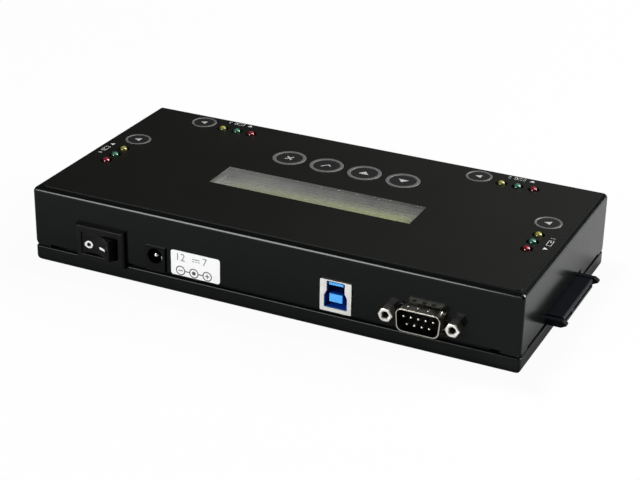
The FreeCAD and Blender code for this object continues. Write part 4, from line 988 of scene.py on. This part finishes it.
floor_finish, shade = new_finish("floor_white")
tray_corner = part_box("bottom_tray")[1]
apart = [shade.math("ABSOLUTE", shade.along(axis), 0) - tray_corner[axis] for axis in (0, 1)]
shade.surface({
    "Base Color": shade.math("MAXIMUM", *apart).rise(*NEAR_EDGE).tint(FLOOR_NEAR_SHADOW, FLOOR_PALE),
    "Roughness": 0.9,
    "Specular IOR Level": 0.0,
})
lit = Shade(floor_finish.node_tree, floor_finish.node_tree.nodes["Principled BSDF"].outputs[0])
glow = shade.node("Emission", {}, {"Strength": 1.0})
seen = 0.0
for kind, share in FLOOR_GLOW.items():
    seen = shade.math("MAXIMUM", seen, share * shade.node("LightPath", output=kind))
both = shade.node("MixShader", {}, {0: seen, 1: lit, 2: glow})
shade.feed(floor_finish.node_tree.nodes["Material Output"], {"Surface": both})
corners = [(x * FLOOR_HALF, y * FLOOR_HALF, 0) for x, y in ((-1, -1), (1, -1), (1, 1), (-1, 1))]
floor_mesh = bpy.data.meshes.new("floor")
floor_mesh.from_pydata(corners, [], [(0, 1, 2, 3)])
floor_mesh.materials.append(floor_finish)
floor = bpy.data.objects.new("floor", floor_mesh)
bpy.context.scene.collection.objects.link(floor)


# Studio light: a large soft lamp at the back on the right, one in front on the left and one overhead,
# each given by place, width and power. The walls, given by direction, are dark at both ends and on the
# ceiling's left, with a paler band between that the film shows.

WALL_DARK = (0.025, 0.025, 0.025)
WALL_PALE = (0.27, 0.27, 0.27)
BAND_LEFT = (-0.50, -0.05)
BAND_RIGHT = (0.05, 0.25)
CEILING_HEIGHT = (0.64, 0.76)
CEILING_RIGHT = (-0.32, -0.12)
LAMPS = {
    "back_lamp": ((1.10, 0.72, 0.72), 0.7, 33.0),
    "front_lamp": ((-0.44, -0.94, 0.38), 0.5, 9.8),
    "top_lamp": ((0.50, 0.06, 0.90), 0.4, 5.0),
}

world = bpy.data.worlds.new("studio")
world.use_nodes = True
bpy.context.scene.world = world
shade = Shade(world.node_tree)
towards = shade.node("TexCoord", output="Generated")
side = shade.node("SeparateXYZ", {}, {0: towards}, 0)
height = shade.node("SeparateXYZ", {}, {0: towards}, 2)
ceiling = height.rise(*CEILING_HEIGHT) * (1 - side.rise(*CEILING_RIGHT))
band = side.rise(*BAND_LEFT) * (1 - side.rise(*BAND_RIGHT)) * (1 - ceiling)
shade.feed(world.node_tree.nodes["Background"],
           {"Color": band.tint(WALL_DARK, WALL_PALE), "Strength": 1.0})

for name, (spot, size, power) in LAMPS.items():
    light = bpy.data.lights.new(name, "AREA")
    light.shape = "DISK"
    light.size = size
    light.energy = power
    lamp = bpy.data.objects.new(name, light)
    lamp.location = spot
    lamp.rotation_euler = (-Vector(spot)).to_track_quat("-Z", "Y").to_euler()
    bpy.context.scene.collection.objects.link(lamp)


# Camera: a long lens in front on the right, above the top of the box and rolled by about a degree.
# Its place was worked out from the edges of the case and the distance between the jackscrews.

CAMERA_SPOT = Vector((0.24712, -0.53186, 0.29115))
CAMERA_AIM = Vector((0.00472, -0.01185, 0.0174))
CAMERA_ROLL = 1.05
CAMERA_LENS = 94.76

camera_data = bpy.data.cameras.new("camera")
camera_data.lens = CAMERA_LENS
camera = bpy.data.objects.new("camera", camera_data)
camera.location = CAMERA_SPOT
look = (CAMERA_AIM - CAMERA_SPOT).to_track_quat("-Z", "Y").to_matrix()
camera.rotation_euler = (look @ Matrix.Rotation(math.radians(CAMERA_ROLL), 3, "Z")).to_euler()
bpy.context.scene.collection.objects.link(camera)
bpy.context.scene.camera = camera
bpy.context.scene.view_settings.view_transform = "Standard"
